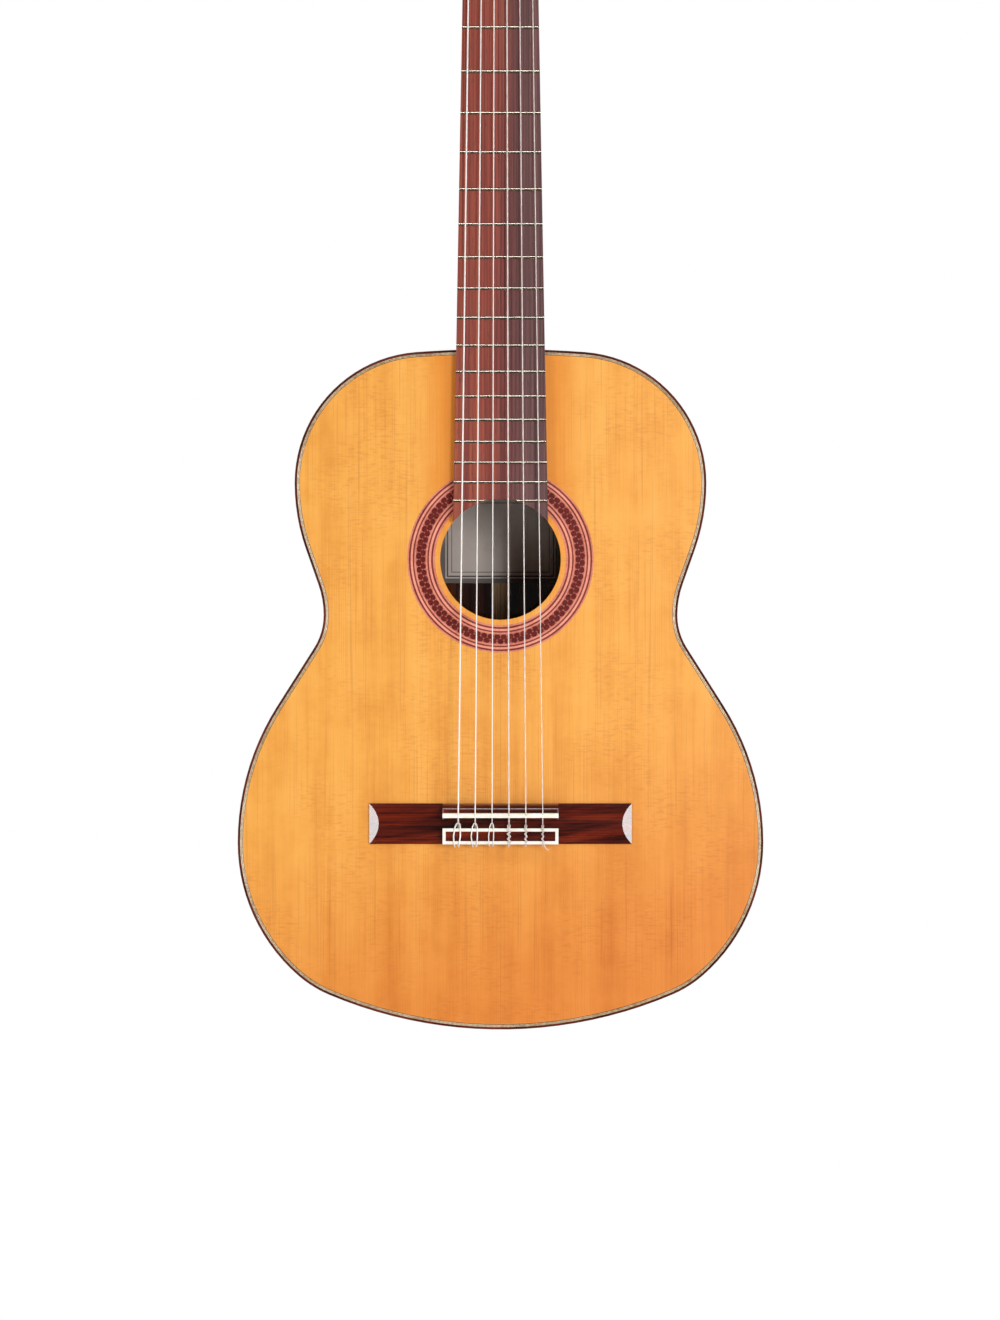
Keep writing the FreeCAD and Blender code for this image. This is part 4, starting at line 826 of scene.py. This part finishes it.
def treble_tie(x, radius, curl):
    """The same start, then a ring round the string and two and a half twists back over the leg."""
    top = block_top - radius - 0.1
    ring = 1.9 * radius
    route = [
        at(x, -hole_height, bridge_rear - 1.0 - radius),
        at(x, -hole_height - 2.2, bridge_rear - 1.1 - radius),
        at(x, top, bridge_rear - 0.2),
        at(x, top, (bridge_rear + block_front) / 2),
        at(x + 0.3, top, block_front + 0.4),
        at(x + ring, -8.2, block_front + 1.9),
        at(x, -7.6 + 2.1 * radius, block_front + 1.9 + ring),
        at(x - ring, -8.4, block_front + 1.9),
        at(x - radius * 1.2, top - radius, block_front + 0.7),
    ]
    twists, steps = 2.5, 30
    for step in range(steps + 1):
        part = step / steps
        angle = math.pi + 2 * math.pi * twists * part
        spread = 2.05 * radius
        lift = radius * 0.6 + spread * abs(math.sin(angle)) * 0.9
        route.append(at(x + spread * math.cos(angle), top - lift, block_front - 0.4 - 8.6 * part))
    if curl:
        return route + [at(x + 0.9, top - 0.2, bridge_rear - 0.6), at(x + 1.9, top + 0.6, bridge_rear - 2.6),
                        at(x + 3.2, top + 1.0, bridge_rear - 4.0), at(x + 4.4, top + 1.2, bridge_rear - 3.6)]
    return route + [at(x - 0.7, top + 0.4, bridge_rear - 1.1 - radius)]


axles = {joint["child"]: Vector(joint["pos_m"]) for joint in frame["joints"]}
for number in range(6, 0, -1):
    index = 6 - number
    part = index / 5 - 0.5
    side = -1 if index < 3 else 1
    machine = index if index < 3 else 5 - index
    radius = gauges[number] / 2
    x_nut, x_saddle = part * NUT_SPREAD, part * SADDLE_SPREAD
    nut_point = at(x_nut, -NUT_LIFT - radius, 0.6)
    axle = axles["capstan_%d" % number]
    # The string touches the front of its capstan where a line from the nut just grazes the barrel
    gap_y, gap_z = axle.y - nut_point.y, axle.z - nut_point.z
    away = math.hypot(gap_y, gap_z)
    coil_radius = (CAPSTAN_RADIUS + radius) * mm
    heading = math.atan2(gap_z, gap_y) + math.asin(coil_radius / away)
    free_run = math.sqrt(away ** 2 - coil_radius ** 2)
    coil_x = side * capstan_holes[machine] * mm
    touch = Vector((coil_x, nut_point.y + free_run * math.cos(heading),
                    nut_point.z + free_run * math.sin(heading)))
    lead_in = at(x_saddle, -hole_height, block_front + 0.5)
    crown = at(x_saddle, -saddle_lifts[number] - radius, saddle_front - 1.2)
    if number > 3:
        tie = bass_tie(x_saddle, radius, *bass_legs[number])
    else:
        tie = treble_tie(x_saddle, radius, number == 1)
    long_run = rounded([touch, nut_point, crown, lead_in, tie[0]], 2.5 * mm)
    string = tube("string_%d_run" % number, long_run[:-1] + rounded([long_run[-2]] + tie, 1.6 * mm)[1:],
                  radius * mm, silver.material if number > 3 else nylon.material)
    settle(string, replaced=["string_%d" % number])

    # Four turns side by side on the capstan, from just before the string touches it, and then the
    # end crosses back over them and drops into its hole
    start_angle = math.atan2(touch.z - axle.z, axle.y - touch.y)
    coil = []
    steps_per_turn = 28
    lap = 2 * radius * 1.04 * mm
    for step in range(-2, WINDS * steps_per_turn + 1):
        turns = step / steps_per_turn
        angle = start_angle + 2 * math.pi * turns
        coil.append(Vector((coil_x - side * lap * max(turns, 0.0), axle.y - coil_radius * math.cos(angle),
                            axle.z + coil_radius * math.sin(angle))))
    for step in range(1, steps_per_turn // 2 + 1):
        turns = step / steps_per_turn
        angle = start_angle + 2 * math.pi * turns
        lift = coil_radius + min(turns * 6, 1.0) * 2 * radius * mm
        across_by = WINDS * (1 - 2 * turns) - 0.9 * turns
        coil.append(Vector((coil_x - side * lap * across_by, axle.y - lift * math.cos(angle),
                            axle.z + lift * math.sin(angle))))
    winding = tube("string_%d_winding" % number, coil, radius * mm,
                   silver.material if number > 3 else nylon.material, 10)
    settle(winding, "capstan_%d" % number)


# Studio
# A pale round floor below the hanging guitar, in a white room. Two tall soft boxes stand either side
# of the camera, with strips out to both sides, a window to the right, and boxes above and behind.

bpy.context.scene.view_settings.view_transform = "Standard"

FLOOR_RADIUS = 3.0
FLOOR_LEVEL = -1.42
floor_shape = bmesh.new()
bmesh.ops.create_circle(floor_shape, cap_ends=True, segments=96, radius=FLOOR_RADIUS)
bmesh.ops.translate(floor_shape, verts=floor_shape.verts, vec=(0.0, 0.0, FLOOR_LEVEL))
floor_mesh = bpy.data.meshes.new("floor")
floor_shape.to_mesh(floor_mesh)
floor_shape.free()
floor = bpy.data.objects.new("floor", floor_mesh)
bpy.context.scene.collection.objects.link(floor)
pale = Finish("pale_floor", Roughness=0.8, Emission_Color=(1.0, 1.0, 1.0, 1.0), Emission_Strength=0.4)
pale.colour(pale.ramp(pale.noise(pale.place, 6.0), [(0.3, tint(240, 240, 240)), (0.7, tint(248, 248, 248))]))
floor_mesh.materials.append(pale.material)
floor.visible_glossy = False

room = bpy.data.worlds.new("white_room")
room.use_nodes = True
make, join = room.node_tree.nodes.new, room.node_tree.links.new
sky = room.node_tree.nodes["Background"]
sky.inputs["Color"].default_value = (1.0, 1.0, 1.0, 1.0)
seen = make("ShaderNodeLightPath")
# White where the camera sees past the guitar, soft on its wood, and dim where its lacquer mirrors it
on_guitar = make("ShaderNodeMapRange")
join(seen.outputs["Is Diffuse Ray"], on_guitar.inputs["Value"])
on_guitar.inputs["To Min"].default_value = 0.05
on_guitar.inputs["To Max"].default_value = 0.07
all_round = make("ShaderNodeMapRange")
join(seen.outputs["Is Camera Ray"], all_round.inputs["Value"])
join(on_guitar.outputs["Result"], all_round.inputs["To Min"])
all_round.inputs["To Max"].default_value = 1.0
join(all_round.outputs["Result"], sky.inputs["Strength"])
bpy.context.scene.world = room


def soft_box(name, place, target, width, height, power):
    light = bpy.data.lights.new(name, "AREA")
    light.shape = "RECTANGLE"
    light.size = width
    light.size_y = height
    light.energy = power
    holder = bpy.data.objects.new(name, light)
    holder.location = place
    holder.rotation_mode = "QUATERNION"
    holder.rotation_quaternion = (Vector(target) - Vector(place)).to_track_quat("-Z", "Y")
    bpy.context.scene.collection.objects.link(holder)


BRIDGE_HEIGHT = -0.72
soft_box("soft_box_right", (1.95, -1.85, BRIDGE_HEIGHT), (0.0, 0.0, BRIDGE_HEIGHT), 0.34, 0.9, 14.5)
soft_box("soft_box_left", (-1.95, -1.85, BRIDGE_HEIGHT), (0.0, 0.0, BRIDGE_HEIGHT), 0.34, 0.9, 14.0)
soft_box("side_strip_right", (2.1, -0.3, BRIDGE_HEIGHT), (0.0, 0.0, BRIDGE_HEIGHT), 0.8, 1.6, 9.0)
soft_box("side_strip_left", (-2.1, -0.3, BRIDGE_HEIGHT), (0.0, 0.0, BRIDGE_HEIGHT), 0.8, 1.6, 9.0)
soft_box("window_right", (1.06, -2.2, -0.4), (0.0, 0.0, -0.5), 0.55, 0.9, 24.0)
soft_box("soft_box_above", (0.2, -1.5, 1.5), (0.0, 0.0, -0.4), 1.2, 0.4, 13.0)
soft_box("soft_box_behind", (-1.2, 2.2, 0.8), (0.0, 0.0, -0.4), 1.6, 1.6, 30.0)

lens = bpy.data.cameras.new("camera")
lens.sensor_width = 36.0
CAMERA_DISTANCE = 4.0
FRAME_HEIGHT = 0.9206
frame_x, frame_z = -0.00035, -0.5439
lens.lens = lens.sensor_width * CAMERA_DISTANCE / FRAME_HEIGHT
camera = bpy.data.objects.new("camera", lens)
camera.location = (frame_x, -CAMERA_DISTANCE, frame_z)
camera.rotation_euler = (math.pi / 2, 0.0, 0.0)
bpy.context.scene.collection.objects.link(camera)
bpy.context.scene.camera = camera
